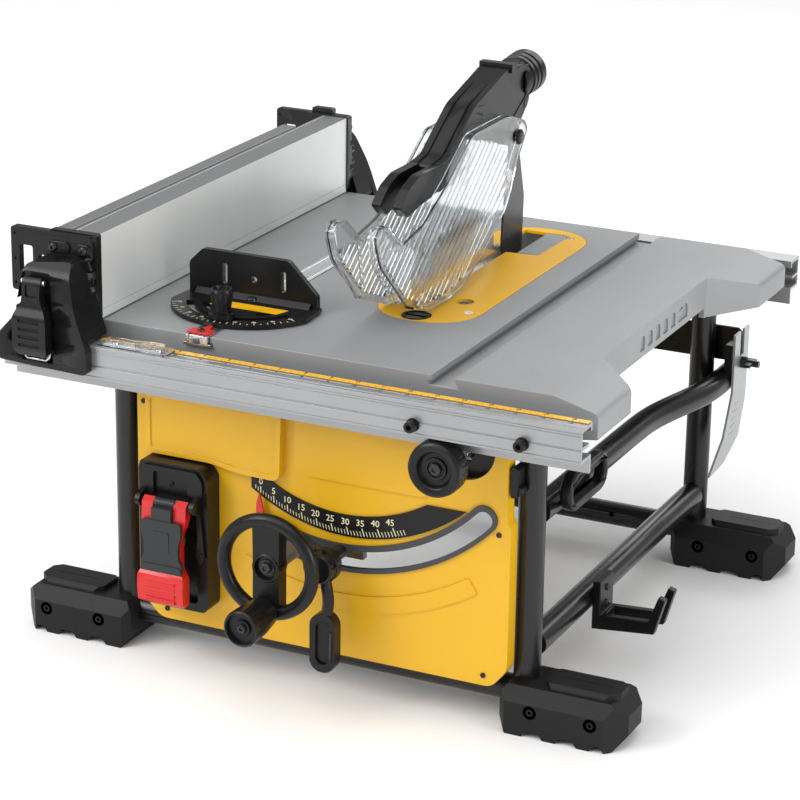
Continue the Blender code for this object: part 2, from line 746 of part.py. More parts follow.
def fence():
    (y0, y1), (z0, z1) = FENCE_Y, FENCE_Z
    body = box((FENCE_SPLIT_X + GAP, y0, z0), (FENCE_FACE_X, y1, z1), "fence_beam", "aluminium")
    cut(body, box((FENCE_SPLIT_X + 3, y0 - 1, z0 + 3), (FENCE_FACE_X - 3, y1 + 1, z1 - 3)))
    support = box((FENCE_LEFT_X, y0, z0 + 12), (FENCE_SPLIT_X, 440, z1), "fence_work_support", "aluminium")
    cut(support, box((FENCE_LEFT_X - 1, y0 - 1, z0 + 15), (FENCE_SPLIT_X - 3, 441, z1 - 3)))
    heads = [fence_head(False, "fence_front_head"), fence_head(True, "fence_rear_head")]
    hang(FENCE, body, support, *heads)
    latch_lever(False, "front_latch_lever")
    latch_lever(True, "rear_latch_lever")


# ---------------------------------------------------------------- mitre gauge


def mitre_gauge():
    x = GAUGE_X
    top = TOP_Z
    tee = [(x - 13.7, top - 9.1), (x + 13.7, top - 9.1), (x + 13.7, top - 6.1), (x + 11, top - 6.1),
           (x + 11, top + 1), (x - 11, top + 1), (x - 11, top - 6.1), (x - 13.7, top - 6.1)]
    bar = prism(tee, "y", -4, 286, "mitre_bar", "steel")
    pivot = rod((x, GAUGE_PIVOT_Y, top - 3), (x, GAUGE_PIVOT_Y, top + 8), 3.5)
    stud = rod((x, GAUGE_CLAMP_Y, top - 3), (x, GAUGE_CLAMP_Y, top + 20), 3)
    join(bar, pivot, stud)
    centre = (x, GAUGE_PIVOT_Y)
    disc = arc(centre, GAUGE_RADIUS, 200, 340, 20) + [(x + 68, GAUGE_PIVOT_Y + 10), (x - 68, GAUGE_PIVOT_Y + 10)]
    radius = GAUGE_PIVOT_Y - GAUGE_CLAMP_Y
    slot = band(centre, radius - 3.6, radius + 3.6, -64, 64)
    bore = arc(centre, 3.8, 0, 337.5, 15)
    head = prism(disc, "z", top + 1.4, top + 5, "mitre_head", "black_plastic", (slot, bore))
    wall = [(x - 68, top + 1.6), (x + 66, top + 1.6), (x + 66, top + 33), (x + 52, top + 47), (x - 54, top + 47),
            (x - 68, top + 33)]
    openings = [rounded_box((x + dx - 2.5, top + 20), (x + dx + 2.5, top + 38), 2.4, 3) for dx in (-42, 40)]
    join(head, prism(wall, "y", GAUGE_PIVOT_Y + 4, GAUGE_PIVOT_Y + 10, holes=openings))
    steps = [(0, 12.5), (5, 12.5), (8, 8.5), (23, 10.5), (27.6, 9)]
    clamp, crown = (x, GAUGE_CLAMP_Y, top + 5.4), (x, GAUGE_CLAMP_Y, top + 33)
    knob = lathe(clamp, crown, steps, "mitre_clamp_knob", "black_plastic", 12)
    cut(knob, rod((x, GAUGE_CLAMP_Y, top + 4), (x, GAUGE_CLAMP_Y, top + 21), 3.3))
    pointer = box((x - 13, 1, top + 1.3), (x + 11, 24, top + 2.6), "mitre_pointer", "red")
    slide = joint("mitre_slide_axis", x, 0, top)
    hang(slide, bar, pointer)
    hang(joint("mitre_swing_axis", x, GAUGE_PIVOT_Y, top, slide), head)
    hang(joint("mitre_clamp_axis", x, GAUGE_CLAMP_Y, top, slide), knob)


# ---------------------------------------------------------------- bevel carriage


def tilted(dx, dz):
    """A point of the bevel carriage, counted from the bevel axis."""
    return BLADE_X + dx, TOP_Z + dz


def tilt_bracket():
    plate = [tilted(*p) for p in ((-168, -150), (-95, -205), (15, -205), (15, -75), (-95, -75), (-168, -90))]
    bracket = prism(plate, "y", 40, 48, "tilt_bracket", "cast_grey")
    rear = [tilted(*p) for p in ((-168, -150), (15, -150), (15, -98), (-168, -90))]
    join(bracket, prism(rear, "y", 430, 438))
    join(bracket, box((BLADE_X - 168, 46, TOP_Z - 142), (BLADE_X - 160, 432, TOP_Z - 98)))
    for low, high in ((-80, -75), (-174, -169)):
        join(bracket, box((BLADE_X - 92, 47, TOP_Z + low), (BLADE_X + 14, 94, TOP_Z + high)))
    for dx in (-78, 2):
        join(bracket, rod((BLADE_X + dx, SCREW_Y, TOP_Z - 172), (BLADE_X + dx, SCREW_Y, TOP_Z - 77), 6))
    join(bracket, rod((WHEEL_X, -28, WHEEL_Z), (WHEEL_X, 46, WHEEL_Z), 9, sides=20))
    return cut(
        bracket,
        rod((WHEEL_X, -30, WHEEL_Z), (WHEEL_X, 50, WHEEL_Z), 4.3),
        rod((WHEEL_X, SCREW_Y, TOP_Z - 175), (WHEEL_X, SCREW_Y, TOP_Z - 168), 4.6),
    )


def bevel_pointer():
    wide = arc((WHEEL_X, WHEEL_Z), 9.4, 0, 345, 23)
    angle = radians(-28.5)
    radius = 168.0
    tip = (BLADE_X + radius * sin(angle), TOP_Z - radius * cos(angle))
    outline = arc((WHEEL_X, WHEEL_Z), 13, -150, 90, 12) + [tip]
    return prism(outline, "y", 13, 15, "bevel_pointer", "red", (wide,))


def handwheel():
    bpy.ops.mesh.primitive_torus_add(
        major_radius=WHEEL_RADIUS * MM, minor_radius=RIM_RADIUS * MM, major_segments=28, minor_segments=8
    )
    torus = bpy.context.object
    ring = torus.data.copy()
    bpy.data.objects.remove(torus, do_unlink=True)
    ring.name = "handwheel"
    smooth(ring)
    upright = Matrix.Translation(vec(WHEEL_X, -45, WHEEL_Z)) @ Matrix.Rotation(pi / 2, 4, "X")
    wheel = place(ring, "handwheel", "black_plastic", upright)
    spoke = [(WHEEL_X - 14, WHEEL_Z - 43), (WHEEL_X + 14, WHEEL_Z - 43), (WHEEL_X + 12, WHEEL_Z),
             (WHEEL_X + 14, WHEEL_Z + 43), (WHEEL_X - 14, WHEEL_Z + 43), (WHEEL_X - 12, WHEEL_Z)]
    crank_z = WHEEL_Z - CRANK_RADIUS
    join(wheel, prism(spoke, "y", -49, -41), rod((WHEEL_X, -50, WHEEL_Z), (WHEEL_X, -32, WHEEL_Z), 15, sides=24))
    join(wheel, rod((WHEEL_X, -46, crank_z), (WHEEL_X, -90, crank_z), 4))
    cut(wheel, rod((WHEEL_X, -47, WHEEL_Z), (WHEEL_X, -30, WHEEL_Z), 4.3))
    steps = [(0, 4), (110, 4), (116.6, 9.6), (121.1, 5.2)]
    shaft = lathe((WHEEL_X, -46.6, WHEEL_Z), (WHEEL_X, 74.5, WHEEL_Z), steps, "handwheel_shaft", "steel", 16)
    steps = [(0, 13), (12, 13.5), (20, 16.5), (40, 17.5), (44, 16.5)]
    knob = lathe((WHEEL_X, -53, crank_z), (WHEEL_X, -97, crank_z), steps, "crank_knob", "black_plastic", 24)
    cut(knob, rod((WHEEL_X, -52, crank_z), (WHEEL_X, -91, crank_z), 4.3))
    return wheel, shaft, knob


def lead_screw():
    """A plain screw with its bevel gear, whose cone meets the handwheel shaft's cone."""
    steps = [(0, 5.2), (4.5, 9.6), (8.5, 4), (104.1, 4)]
    foot_end, top_end = (WHEEL_X, SCREW_Y, WHEEL_Z + 5.5), (WHEEL_X, SCREW_Y, TOP_Z - 80.4)
    return lathe(foot_end, top_end, steps, "lead_screw", "steel", 16)


def lock_lever():
    y0, y1 = -30.0, -8.0
    arm = [(LOCK_X - 10, LOCK_Z + 6), (LOCK_X - 8, LOCK_Z - 34), (LOCK_X - 15, LOCK_Z - 44), (LOCK_X - 16, LOCK_Z - 78),
           (LOCK_X - 13, LOCK_Z - 94), (LOCK_X, LOCK_Z - 102), (LOCK_X + 13, LOCK_Z - 94),
           (LOCK_X + 16, LOCK_Z - 78), (LOCK_X + 15, LOCK_Z - 44), (LOCK_X + 8, LOCK_Z - 34),
           (LOCK_X + 10, LOCK_Z + 6)]
    lever = prism(arm, "y", -26, -14, "bevel_lock_lever", "black_plastic")
    join(lever, rod((LOCK_X, y0, LOCK_Z), (LOCK_X, y1, LOCK_Z), 12.5, sides=20))
    return join(lever, rod((LOCK_X, -12, LOCK_Z), (LOCK_X, 39.6, LOCK_Z), 6))


# ---------------------------------------------------------------- blade carriage


def gear_case():
    cross = box((BLADE_X - 92, 66, TOP_Z - 103), (BLADE_X + 14, 94, TOP_Z - 81), "gear_case", "cast_grey")
    cut(cross, rod((WHEEL_X, SCREW_Y, TOP_Z - 110), (WHEEL_X, SCREW_Y, TOP_Z - 76), 4.5))
    arm = box((BLADE_X - 26, 90, TOP_Z - 101), (BLADE_X - 10, 230, TOP_Z - 83))
    tail = [(300, TOP_Z - 93), (426, TOP_Z - 93), (426, TOP_Z - 62), (398, TOP_Z - 62), (385, TOP_Z - 72),
            (300, TOP_Z - 72)]
    upper = arc((BLADE_Y, BLADE_Z), 22, 20, 160, 8)
    lower = arc((BLADE_Y - 20, TOP_Z - 105), 36, 180, 360, 12)
    join(cross, arm, prism(upper + lower, "x", BLADE_X - 26, BLADE_X - 8))
    join(cross, prism(tail, "x", BLADE_X - 24, BLADE_X - 12), box((BLADE_X - 14, 388, TOP_Z - 88), (BLADE_X - 1.5, 424, TOP_Z - 62.5)))
    join(cross, box((BLADE_X - 25, 268, TOP_Z - 92), (BLADE_X - 11.5, 305, TOP_Z - 73)))
    join(cross, rod((BLADE_X - 9, BLADE_Y, BLADE_Z), (BLADE_X - 5.2, BLADE_Y, BLADE_Z), 12, sides=20))
    for dx in (-78, 2):
        cut(cross, rod((BLADE_X + dx, SCREW_Y, TOP_Z - 110), (BLADE_X + dx, SCREW_Y, TOP_Z - 76), 6.4))
    return cut(cross, rod((BLADE_X - 20, BLADE_Y, BLADE_Z), (BLADE_X, BLADE_Y, BLADE_Z), 8, sides=20))


def motor():
    y, z = BLADE_Y - 20, TOP_Z - 105
    steps = [(0, 36), (6, 41), (100, 41), (108, 36), (123.6, 36)]
    return lathe((BLADE_X - 26.4, y, z), (BLADE_X - 150, y, z), steps, "motor_housing", "black_plastic", 28)


def shroud():
    centre = (BLADE_Y, BLADE_Z)
    drop = 22.0
    span = degrees(atan2(drop, 112.0))
    outer = arc(centre, hypot(112, drop), 180 + span, 360 - span, 26)
    inner = arc(centre, hypot(109, drop + 0.5), 180 + span, 360 - span, 26)
    inner = [(inner[0][0], inner[0][1] + 4)] + inner + [(inner[-1][0], inner[-1][1] + 4)]
    shell = prism(outer, "x", BLADE_X - 6.5, BLADE_X + 9.5, "blade_shroud", "black_plastic")
    return cut(shell, prism(inner, "x", BLADE_X - 4.9, BLADE_X + 7.9))


def blade():
    points = []
    for i in range(BLADE_TEETH):
        start = 2 * pi * i / BLADE_TEETH
        for radius, turn in ((BLADE_RADIUS - 8, 0.0), (BLADE_RADIUS - 8.5, 0.05), (BLADE_RADIUS - 1, 0.17),
                             (BLADE_RADIUS, 0.235)):
            points.append((BLADE_Y + radius * cos(start + turn), BLADE_Z + radius * sin(start + turn)))
    bore = arc((BLADE_Y, BLADE_Z), ARBOR_RADIUS + GAP, 0, 342, 19)
    return prism(points, "x", BLADE_X - KERF_HALF, BLADE_X + KERF_HALF, "saw_blade", "steel", (bore,))


def arbor():
    def along(dx):
        return (BLADE_X + dx, BLADE_Y, BLADE_Z)

    steps = [(0, ARBOR_RADIUS), (14.6, ARBOR_RADIUS), (14.7, 19), (17.8, 19), (17.9, ARBOR_RADIUS), (30.5, ARBOR_RADIUS)]
    shaft = lathe(along(-19), along(11.5), steps, "blade_arbor", "steel", 20)
    nut = lathe(along(1.2), along(10), [(0, 19), (3, 19), (3.1, 12), (8.8, 12)], "arbor_nut", "steel", 18)
    cut(nut, rod(along(0), along(12), ARBOR_RADIUS + GAP, sides=20))
    return shaft, nut


def riving_knife():
    centre = (BLADE_Y, BLADE_Z)
    front = arc(centre, BLADE_RADIUS + 6, -5, 24, 8)
    outline = front + [(378, TOP_Z + 60), (384, TOP_Z + 100), (373, TOP_Z + 140), (396, TOP_Z + 144),
                       (412, TOP_Z + 95), (427, TOP_Z + 45), (424, TOP_Z - 20), (424, TOP_Z - 84), (391, TOP_Z - 84)]
    knife = prism(outline, "x", BLADE_X - 1.1, BLADE_X + 1.1, "riving_knife", "dark_steel")
    y, z = 407.0, TOP_Z - 73
    steps = [(0, 7), (4, 7), (4.1, 12), (13.5, 12)]
    knob = lathe((BLADE_X + 1.5, y, z), (BLADE_X + 15, y, z), steps, "knife_lock_knob", "black_plastic", 16)
    return knife, knob


def guard_spine():
    top = [(398, 186), (354, 190), (345, 191), (269, 170), (213, 134), (190, 131)]
    bottom = [(190, 104), (238, 112), (256, 146), (300, 145), (336, 118), (366, 112), (374, 128), (400, 150)]
    outline = [(y, TOP_Z + z) for y, z in top + bottom]
    spine = prism(outline[::-1], "x", BLADE_X - SPINE_HALF, BLADE_X + SPINE_HALF, "guard_spine", "black_plastic")
    prong = [(196, 131), (150, 131), (128, 124), (110, 110), (124, 98), (150, 103), (196, 107)]
    for side in (-1, 1):
        low, high = sorted((BLADE_X + side * 6, BLADE_X + side * SPINE_HALF))
        join(spine, prism([(y, TOP_Z + z) for y, z in prong][::-1], "x", low, high))
    port = [(0, 15), (6, 16.5), (25, 16.5), (25.5, 18.5), (35.1, 18.5)]
    join(
        spine,
        lathe((BLADE_X, 392, TOP_Z + 170), (BLADE_X, 427, TOP_Z + 173), port),
        box((BLADE_X - 17.5, 350, TOP_Z + 186), (BLADE_X + 17.5, 360, TOP_Z + 195)),
    )
    y, z = GUARD_PIVOT
    return cut(
        spine,
        box((BLADE_X - 1.5, 364, TOP_Z + 90), (BLADE_X + 1.5, 420, TOP_Z + 148)),
        rod((BLADE_X - 20, y, z), (BLADE_X + 20, y, z), 5.4),
    )


SHELL_OUTLINE = [(245, 150), (191, 116), (140, 90), (95, 82), (64, 108), (46, 109), (38, 100), (50, 72), (104, 22),
                 (150, 5), (200, 3), (233, 8), (265, 24), (322, 56), (336, 72), (349, 98), (374, 128), (366, 138),
                 (329, 150)]


def guard_shell(side, name):
    outline = [(y, TOP_Z + z) for y, z in SHELL_OUTLINE]
    low, high = sorted((BLADE_X + side * SHELL_NEAR, BLADE_X + side * SHELL_FAR))
    shell = prism(outline, "x", low, high, name, "clear")
    inner, outer = sorted((BLADE_X + side * (SHELL_NEAR - 1), BLADE_X + side * (SHELL_FAR - 2.5)))
    cut(shell, prism(inset(outline, 2.5), "x", inner, outer))
    y, z = GUARD_PIVOT
    return cut(shell, rod((BLADE_X - 40, y, z), (BLADE_X + 40, y, z), 5.4))


def guard_pin():
    y, z = GUARD_PIVOT
    steps = [(0, 7.5), (3, 7.5), (3.1, 5), (52.9, 5), (53, 7.5), (56, 7.5)]
    return lathe((BLADE_X - 28, y, z), (BLADE_X + 28, y, z), steps, "guard_pivot_pin", "black_plastic", 16)


def carriage():
    tilt = joint("tilt_axis", BLADE_X, 0, TOP_Z)
    hang(tilt, tilt_bracket(), bevel_pointer())
    wheel, shaft, knob = handwheel()
    wheel_axis = joint("handwheel_axis", WHEEL_X, -45, WHEEL_Z, tilt)
    hang(wheel_axis, wheel, shaft)
    hang(joint("crank_axis", WHEEL_X, -53, WHEEL_Z - CRANK_RADIUS, wheel_axis), knob)
    hang(joint("lead_screw_axis", WHEEL_X, SCREW_Y, WHEEL_Z, tilt), lead_screw())
    hang(joint("lock_lever_axis", LOCK_X, 0, LOCK_Z, tilt), lock_lever())
    lift = joint("lift_axis", BLADE_X, SCREW_Y, BLADE_Z, tilt)
    knife, knife_knob = riving_knife()
    hang(lift, gear_case(), motor(), shroud(), knife, guard_spine())
    hang(joint("knife_lock_axis", BLADE_X, 407, TOP_Z - 73, lift), knife_knob)
    hang(joint("arbor_axis", BLADE_X, BLADE_Y, BLADE_Z, lift), blade(), *arbor())
    ride = joint("guard_axis", BLADE_X, *GUARD_PIVOT, lift)
    hang(ride, guard_pin(), guard_shell(1, "right_guard_shell"))
    hang(joint("left_shell_axis", BLADE_X, *GUARD_PIVOT, ride), guard_shell(-1, "left_guard_shell"))


FENCE = joint("fence_axis", FENCE_FACE_X, 0, TOP_Z)


def main():
    root = joint("saw_root", 0, 0, 0)
    table_top()
    throat()
    frames()
    feet()
    front_panel()
    bevel_scale()
    rear_plate()
    cord_wrap()
    storage_hook()
    stored_knife()
    switch()
    rails()
    fence()
    mitre_gauge()
    carriage()
    for obj in PARTS.objects:
        if obj.parent is None and obj is not root:
            hang(root, obj)
    for cutter in CUTTERS.objects:
        hang(root, cutter)
    root.location = vec(*ORIGIN) * -1


main()
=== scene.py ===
"""The finished look of a compact table saw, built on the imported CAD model.

Lengths are millimetres, counted from the table: x to the right of its centreline, y behind its front edge,
and z above its top.  at() turns them into the frame's metres.
"""

import bmesh
import bpy
import json
from math import atan2, cos, pi, radians, sin
from mathutils import Matrix, Vector

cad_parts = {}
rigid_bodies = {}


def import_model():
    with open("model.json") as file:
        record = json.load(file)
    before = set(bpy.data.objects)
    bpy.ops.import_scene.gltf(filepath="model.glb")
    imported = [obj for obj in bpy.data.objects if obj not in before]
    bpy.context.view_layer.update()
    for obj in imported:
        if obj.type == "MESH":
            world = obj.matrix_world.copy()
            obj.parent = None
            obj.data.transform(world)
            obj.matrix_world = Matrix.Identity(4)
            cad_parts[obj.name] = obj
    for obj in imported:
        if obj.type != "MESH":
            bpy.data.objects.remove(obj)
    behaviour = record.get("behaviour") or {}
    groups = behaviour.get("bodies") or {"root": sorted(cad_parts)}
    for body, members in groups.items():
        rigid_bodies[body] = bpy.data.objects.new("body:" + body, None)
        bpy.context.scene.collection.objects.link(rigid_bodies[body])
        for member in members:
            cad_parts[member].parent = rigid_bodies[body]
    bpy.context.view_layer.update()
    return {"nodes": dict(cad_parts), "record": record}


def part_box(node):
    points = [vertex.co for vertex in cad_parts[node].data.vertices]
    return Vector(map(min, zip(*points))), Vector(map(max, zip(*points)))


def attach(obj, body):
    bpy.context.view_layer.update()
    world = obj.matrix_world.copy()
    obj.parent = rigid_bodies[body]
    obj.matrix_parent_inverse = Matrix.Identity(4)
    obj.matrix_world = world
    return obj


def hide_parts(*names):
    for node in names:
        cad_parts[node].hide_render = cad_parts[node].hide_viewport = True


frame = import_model()
NODES = frame["nodes"]
MM = 0.001
TABLE_LOW, TABLE_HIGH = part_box("table_top")
FLOOR = -TABLE_HIGH.z / MM
DEPTH = (TABLE_HIGH.y - TABLE_LOW.y) / MM
BLADE_X = 30.0
WORK = bpy.data.collections.new("guides")
bpy.context.scene.collection.children.link(WORK)
WORK.hide_render = True


def at(x, y, z):
    return Vector((x * MM, TABLE_LOW.y + y * MM, TABLE_HIGH.z + z * MM))


# ---- materials

# slot: colour, roughness, metallic, grain per metre, grain depth, tint, shine spread
LOOKS = {
    "table_grey": ((0.285, 0.29, 0.295), 0.50, 0.15, 900, 0.015, 0.04, 0.05),
    "yellow_paint": ((0.84, 0.45, 0.004), 0.42, 0.0, 500, 0.01, 0.03, 0.05),
    "yellow_plastic": ((0.76, 0.42, 0.004), 0.40, 0.0, 1400, 0.02, 0.04, 0.06),
    "rule_tape": ((0.86, 0.46, 0.015), 0.35, 0.0, 600, 0.01, 0.03, 0.04),
    "aluminium": ((0.36, 0.365, 0.37), 0.34, 0.7, 1600, 0.006, 0.03, 0.05),
    "fence_face": ((0.86, 0.88, 0.87), 0.40, 0.4, 1600, 0.006, 0.03, 0.05),
    # painted shade: a darker copy of the fence aluminium, put on the upper faces of the fence bars
    "painted_shade_aluminium": ((0.27, 0.275, 0.28), 0.36, 0.6, 1600, 0.006, 0.03, 0.05),
    "steel": ((0.62, 0.63, 0.65), 0.24, 1.0, 1800, 0.02, 0.05, 0.08),
    "dark_steel": ((0.030, 0.031, 0.034), 0.30, 0.6, 1200, 0.03, 0.10, 0.08),
    "grey_steel": ((0.42, 0.425, 0.43), 0.40, 0.7, 1500, 0.03, 0.06, 0.08),
    "cast_grey": ((0.27, 0.275, 0.28), 0.5, 0.8, 700, 0.15, 0.12, 0.10),
    "red_plastic": ((0.62, 0.009, 0.008), 0.30, 0.0, 900, 0.02, 0.05, 0.05),
    "grey_plastic": ((0.030, 0.032, 0.034), 0.42, 0.0, 1400, 0.05, 0.08, 0.07),
    "green_plastic": ((0.02, 0.30, 0.05), 0.32, 0.0, 900, 0.02, 0.05, 0.05),
    "powder_black": ((0.006, 0.006, 0.0065), 0.30, 0.0, 1500, 0.012, 0.15, 0.05),
    "foot_rubber": ((0.009, 0.009, 0.0095), 0.50, 0.0, 1100, 0.05, 0.20, 0.10),
    "black_plastic": ((0.006, 0.006, 0.0065), 0.32, 0.0, 1500, 0.03, 0.15, 0.08),
    "trim_grey": ((0.05, 0.052, 0.056), 0.42, 0.2, 1200, 0.03, 0.05, 0.06),
    "print_pale": ((0.88, 0.80, 0.50), 0.45, 0.0, 900, 0.01, 0.02, 0.03),
    "print_dark": ((0.015, 0.015, 0.015), 0.45, 0.0, 900, 0.01, 0.02, 0.03),
}
COATS = {"yellow_plastic": 0.1, "rule_tape": 0.2, "dark_steel": 0.2, "red_plastic": 0.2,
         "green_plastic": 0.2, "powder_black": 0.15}
BRUSHED = {"aluminium": (0.02, 1, 1), "fence_face": (1, 0.02, 1), "painted_shade_aluminium": (1, 0.02, 1),
           "steel": (1, 0.06, 1), "grey_steel": (1, 1, 0.1)}
DULL = {"yellow_paint": 0.25, "black_plastic": 0.3, "powder_black": 0.4, "foot_rubber": 0.25,
        "grey_plastic": 0.3}
USUAL_SHINE = 0.5
MADE = {}


def set_inputs(node, values):
    for name, value in values.items():
        node.inputs[name].default_value = value


def surface(name):
    """A new material, with its node tree and its shader."""
    made = bpy.data.materials.new(name)
    made.use_nodes = True
    return made, made.node_tree, made.node_tree.nodes["Principled BSDF"]


def noise(tree, source, scale, detail):
    node = tree.nodes.new("ShaderNodeTexNoise")
    set_inputs(node, {"Scale": scale, "Detail": detail})
    tree.links.new(source, node.inputs["Vector"])
    return node.outputs["Fac"]


def ranged(tree, source, low, high):
    """The middle of a noise's values, spread from low to high."""
    node = tree.nodes.new("ShaderNodeMapRange")
    set_inputs(node, {"From Min": 0.3, "From Max": 0.7, "To Min": low, "To Max": high})
    tree.links.new(source, node.inputs["Value"])
    return node.outputs["Result"]


def bump(tree, source, shader, strength, depth):
    node = tree.nodes.new("ShaderNodeBump")
    set_inputs(node, {"Strength": strength, "Distance": depth * MM})
    tree.links.new(source, node.inputs["Height"])
    tree.links.new(node.outputs["Normal"], shader.inputs["Normal"])


def material(look):
    """A painted, moulded or brushed surface: fine grain in bump and gloss, and slow drifts of colour."""
    if look in MADE:
        return MADE[look]
    if look == "clear_plastic":
        return clear_plastic()
    colour, rough, metallic, grain, depth, tint, spread = LOOKS[look]
    made, tree, shader = surface(look)
    set_inputs(shader, {"Metallic": metallic, "Coat Weight": COATS.get(look, 0), "Coat Roughness": 0.22,
                        "Specular IOR Level": DULL.get(look, USUAL_SHINE)})
    place = tree.nodes.new("ShaderNodeTexCoord").outputs["Object"]
    stretched = tree.nodes.new("ShaderNodeMapping")
    set_inputs(stretched, {"Scale": BRUSHED.get(look, (1, 1, 1))})
    tree.links.new(place, stretched.inputs["Vector"])
    fine = noise(tree, stretched.outputs["Vector"], grain, 3)
    slow = noise(tree, place, 9, 4)
    mix = tree.nodes.new("ShaderNodeMix")
    mix.data_type = "RGBA"
    mix.inputs["A"].default_value = (*(c * (1 - tint) for c in colour), 1)
    mix.inputs["B"].default_value = (*(min(1, c * (1 + tint)) for c in colour), 1)
    tree.links.new(ranged(tree, slow, 0, 1), mix.inputs["Factor"])
    tree.links.new(mix.outputs["Result"], shader.inputs["Base Color"])
    tree.links.new(ranged(tree, fine, rough - spread, rough + spread), shader.inputs["Roughness"])
    bump(tree, fine, shader, 0.35, depth)
    MADE[look] = made
    return made


def clear_plastic():
    """Polycarbonate, with the faint ripples of a moulding."""
    made, tree, shader = surface("clear_plastic")
    set_inputs(shader, {"Base Color": (0.95, 0.97, 0.98, 1), "Transmission Weight": 1.0, "IOR": 1.45})
    place = tree.nodes.new("ShaderNodeTexCoord").outputs["Object"]
    ripple = noise(tree, place, 60, 2)
    tree.links.new(ranged(tree, ripple, 0.02, 0.07), shader.inputs["Roughness"])
    bump(tree, ripple, shader, 0.5, 0.2)
    MADE["clear_plastic"] = made
    return made


# ---- shapes


def put(data, name, matrix=None):
    obj = bpy.data.objects.new(name, data)
    WORK.objects.link(obj)
    if matrix is not None:
        obj.matrix_world = matrix
    return obj


def mesh_of(bm, name):
    mesh = bpy.data.meshes.new(name)
    bm.to_mesh(mesh)
    bm.free()
    return mesh


def bars(name, items):
    """One mesh of boxes; each item is a middle, a turn and three side lengths."""
    bm = bmesh.new()
    for middle, turn, size in items:
        shape = Matrix.Diagonal((*(abs(side) * MM for side in size), 1))
        made = bmesh.ops.create_cube(bm, size=1.0)["verts"]
        bmesh.ops.transform(bm, matrix=Matrix.Translation(middle) @ turn @ shape, verts=made)
    return put(mesh_of(bm, name), name)


def boxes(name, *pairs):
    """One mesh of several upright boxes, each given by two corners."""
    items = []
    for low, high in pairs:
        items.append(((at(*low) + at(*high)) / 2, Matrix.Identity(4), Vector(high) - Vector(low)))
    return bars(name, items)


def box(low, high):
    return boxes("guide", (low, high))


def facing(start, end):
    return (end - start).to_track_quat("Z", "Y").to_matrix().to_4x4()


def rod(start, end, radius, name="guide", sides=32):
    start, end = at(*start), at(*end)
    bm = bmesh.new()
    bmesh.ops.create_cone(bm, cap_ends=True, segments=sides, radius1=radius * MM, radius2=radius * MM,
                          depth=(end - start).length)
    return put(mesh_of(bm, name), name, Matrix.Translation((start + end) / 2) @ facing(start, end))


def baked(source, angle=40):
    """The evaluated mesh in place of its source, in the frame's own coordinates and shaded smooth."""
    name = source.name
    bpy.context.view_layer.update()
    graph = bpy.context.evaluated_depsgraph_get()
    mesh = bpy.data.meshes.new_from_object(source.evaluated_get(graph))
    mesh.transform(source.matrix_world)
    bm = bmesh.new()
    bm.from_mesh(mesh)
    bmesh.ops.remove_doubles(bm, verts=bm.verts, dist=1e-6)
    bmesh.ops.recalc_face_normals(bm, faces=bm.faces)
    bm.to_mesh(mesh)
    bm.free()
    bpy.data.objects.remove(source, do_unlink=True)
    mesh.materials.clear()
    mesh.name = name
    mesh.shade_smooth()
    mesh.set_sharp_from_angle(angle=radians(angle))
    return put(mesh, name)


def lathe(start, end, profile, name="guide", sides=48):
    """A turned shape from start towards end; the profile is (distance from start, radius) pairs."""
    start, end = at(*start), at(*end)
    points = [(profile[0][0], 0), *profile, (profile[-1][0], 0)]
    bm = bmesh.new()
    verts = [bm.verts.new((radius * MM, 0, height * MM)) for height, radius in reversed(points)]
    for upper, lower in zip(verts, verts[1:]):
        bm.edges.new((upper, lower))
    source = put(mesh_of(bm, name), name, Matrix.Translation(start) @ facing(start, end))
    screw = source.modifiers.new("turn", "SCREW")
    screw.steps = sides
    screw.render_steps = sides
    screw.use_merge_vertices = True
    screw.merge_threshold = 1e-5
    return baked(source)


PLANES = {
    "x": Matrix(((0, 0, 1), (1, 0, 0), (0, 1, 0))).to_4x4(),
    "y": Matrix(((1, 0, 0), (0, 0, -1), (0, 1, 0))).to_4x4(),
    "z": Matrix.Identity(4),
}
ALONG = {"x": Vector((1, 0, 0)), "y": Vector((0, 1, 0)), "z": Vector((0, 0, 1))}


def prism(outline, axis, low, high, name="guide", holes=()):
    """A flat outline in the two axes other than the given one, thickened between two levels of it."""
    curve = bpy.data.curves.new(name, "CURVE")
    curve.dimensions = "2D"
    curve.fill_mode = "BOTH"
    curve.extrude = abs(high - low) / 2 * MM
    for points in (outline, *holes):
        spline = curve.splines.new("POLY")
        spline.points.add(len(points) - 1)
        for point, (u, v) in zip(spline.points, points):
            point.co = (u * MM, v * MM, 0, 1)
        spline.use_cyclic_u = True
    middle = ALONG[axis] * (low + high) / 2
    return baked(put(curve, name, Matrix.Translation(at(*middle)) @ PLANES[axis]), 30)


def tube(points, radius, name="guide", smooth=False, resolution=8):
    curve = bpy.data.curves.new(name, "CURVE")
    curve.dimensions = "3D"
    curve.bevel_depth = radius * MM
    curve.bevel_resolution = resolution
    curve.use_fill_caps = True
    curve.resolution_u = 10
    spline = curve.splines.new("NURBS" if smooth else "POLY")
    spline.points.add(len(points) - 1)
    for point, place in zip(spline.points, points):
        point.co = (*at(*place), 1)
    if smooth:
        spline.use_endpoint_u = True
        spline.order_u = 4
    return baked(put(curve, name))


def copy_of(node, name):
    """A CAD node's shape as a new object with its flat faces made whole."""
    mesh = NODES[node].data.copy()
    mesh.materials.clear()
    bm = bmesh.new()
    bm.from_mesh(mesh)
    bmesh.ops.remove_doubles(bm, verts=bm.verts, dist=2e-6)
    bmesh.ops.dissolve_limit(bm, angle_limit=radians(1), verts=bm.verts, edges=bm.edges)
    bm.to_mesh(mesh)
    bm.free()
    return put(mesh, name)


def boolean(obj, others, operation):
    for other in others:
        step = obj.modifiers.new(operation.lower(), "BOOLEAN")
        step.operation = operation
        step.solver = "EXACT"
        step.object = other
        other.hide_render = True
    return obj


def cut(obj, *others):
    return boolean(obj, others, "DIFFERENCE")


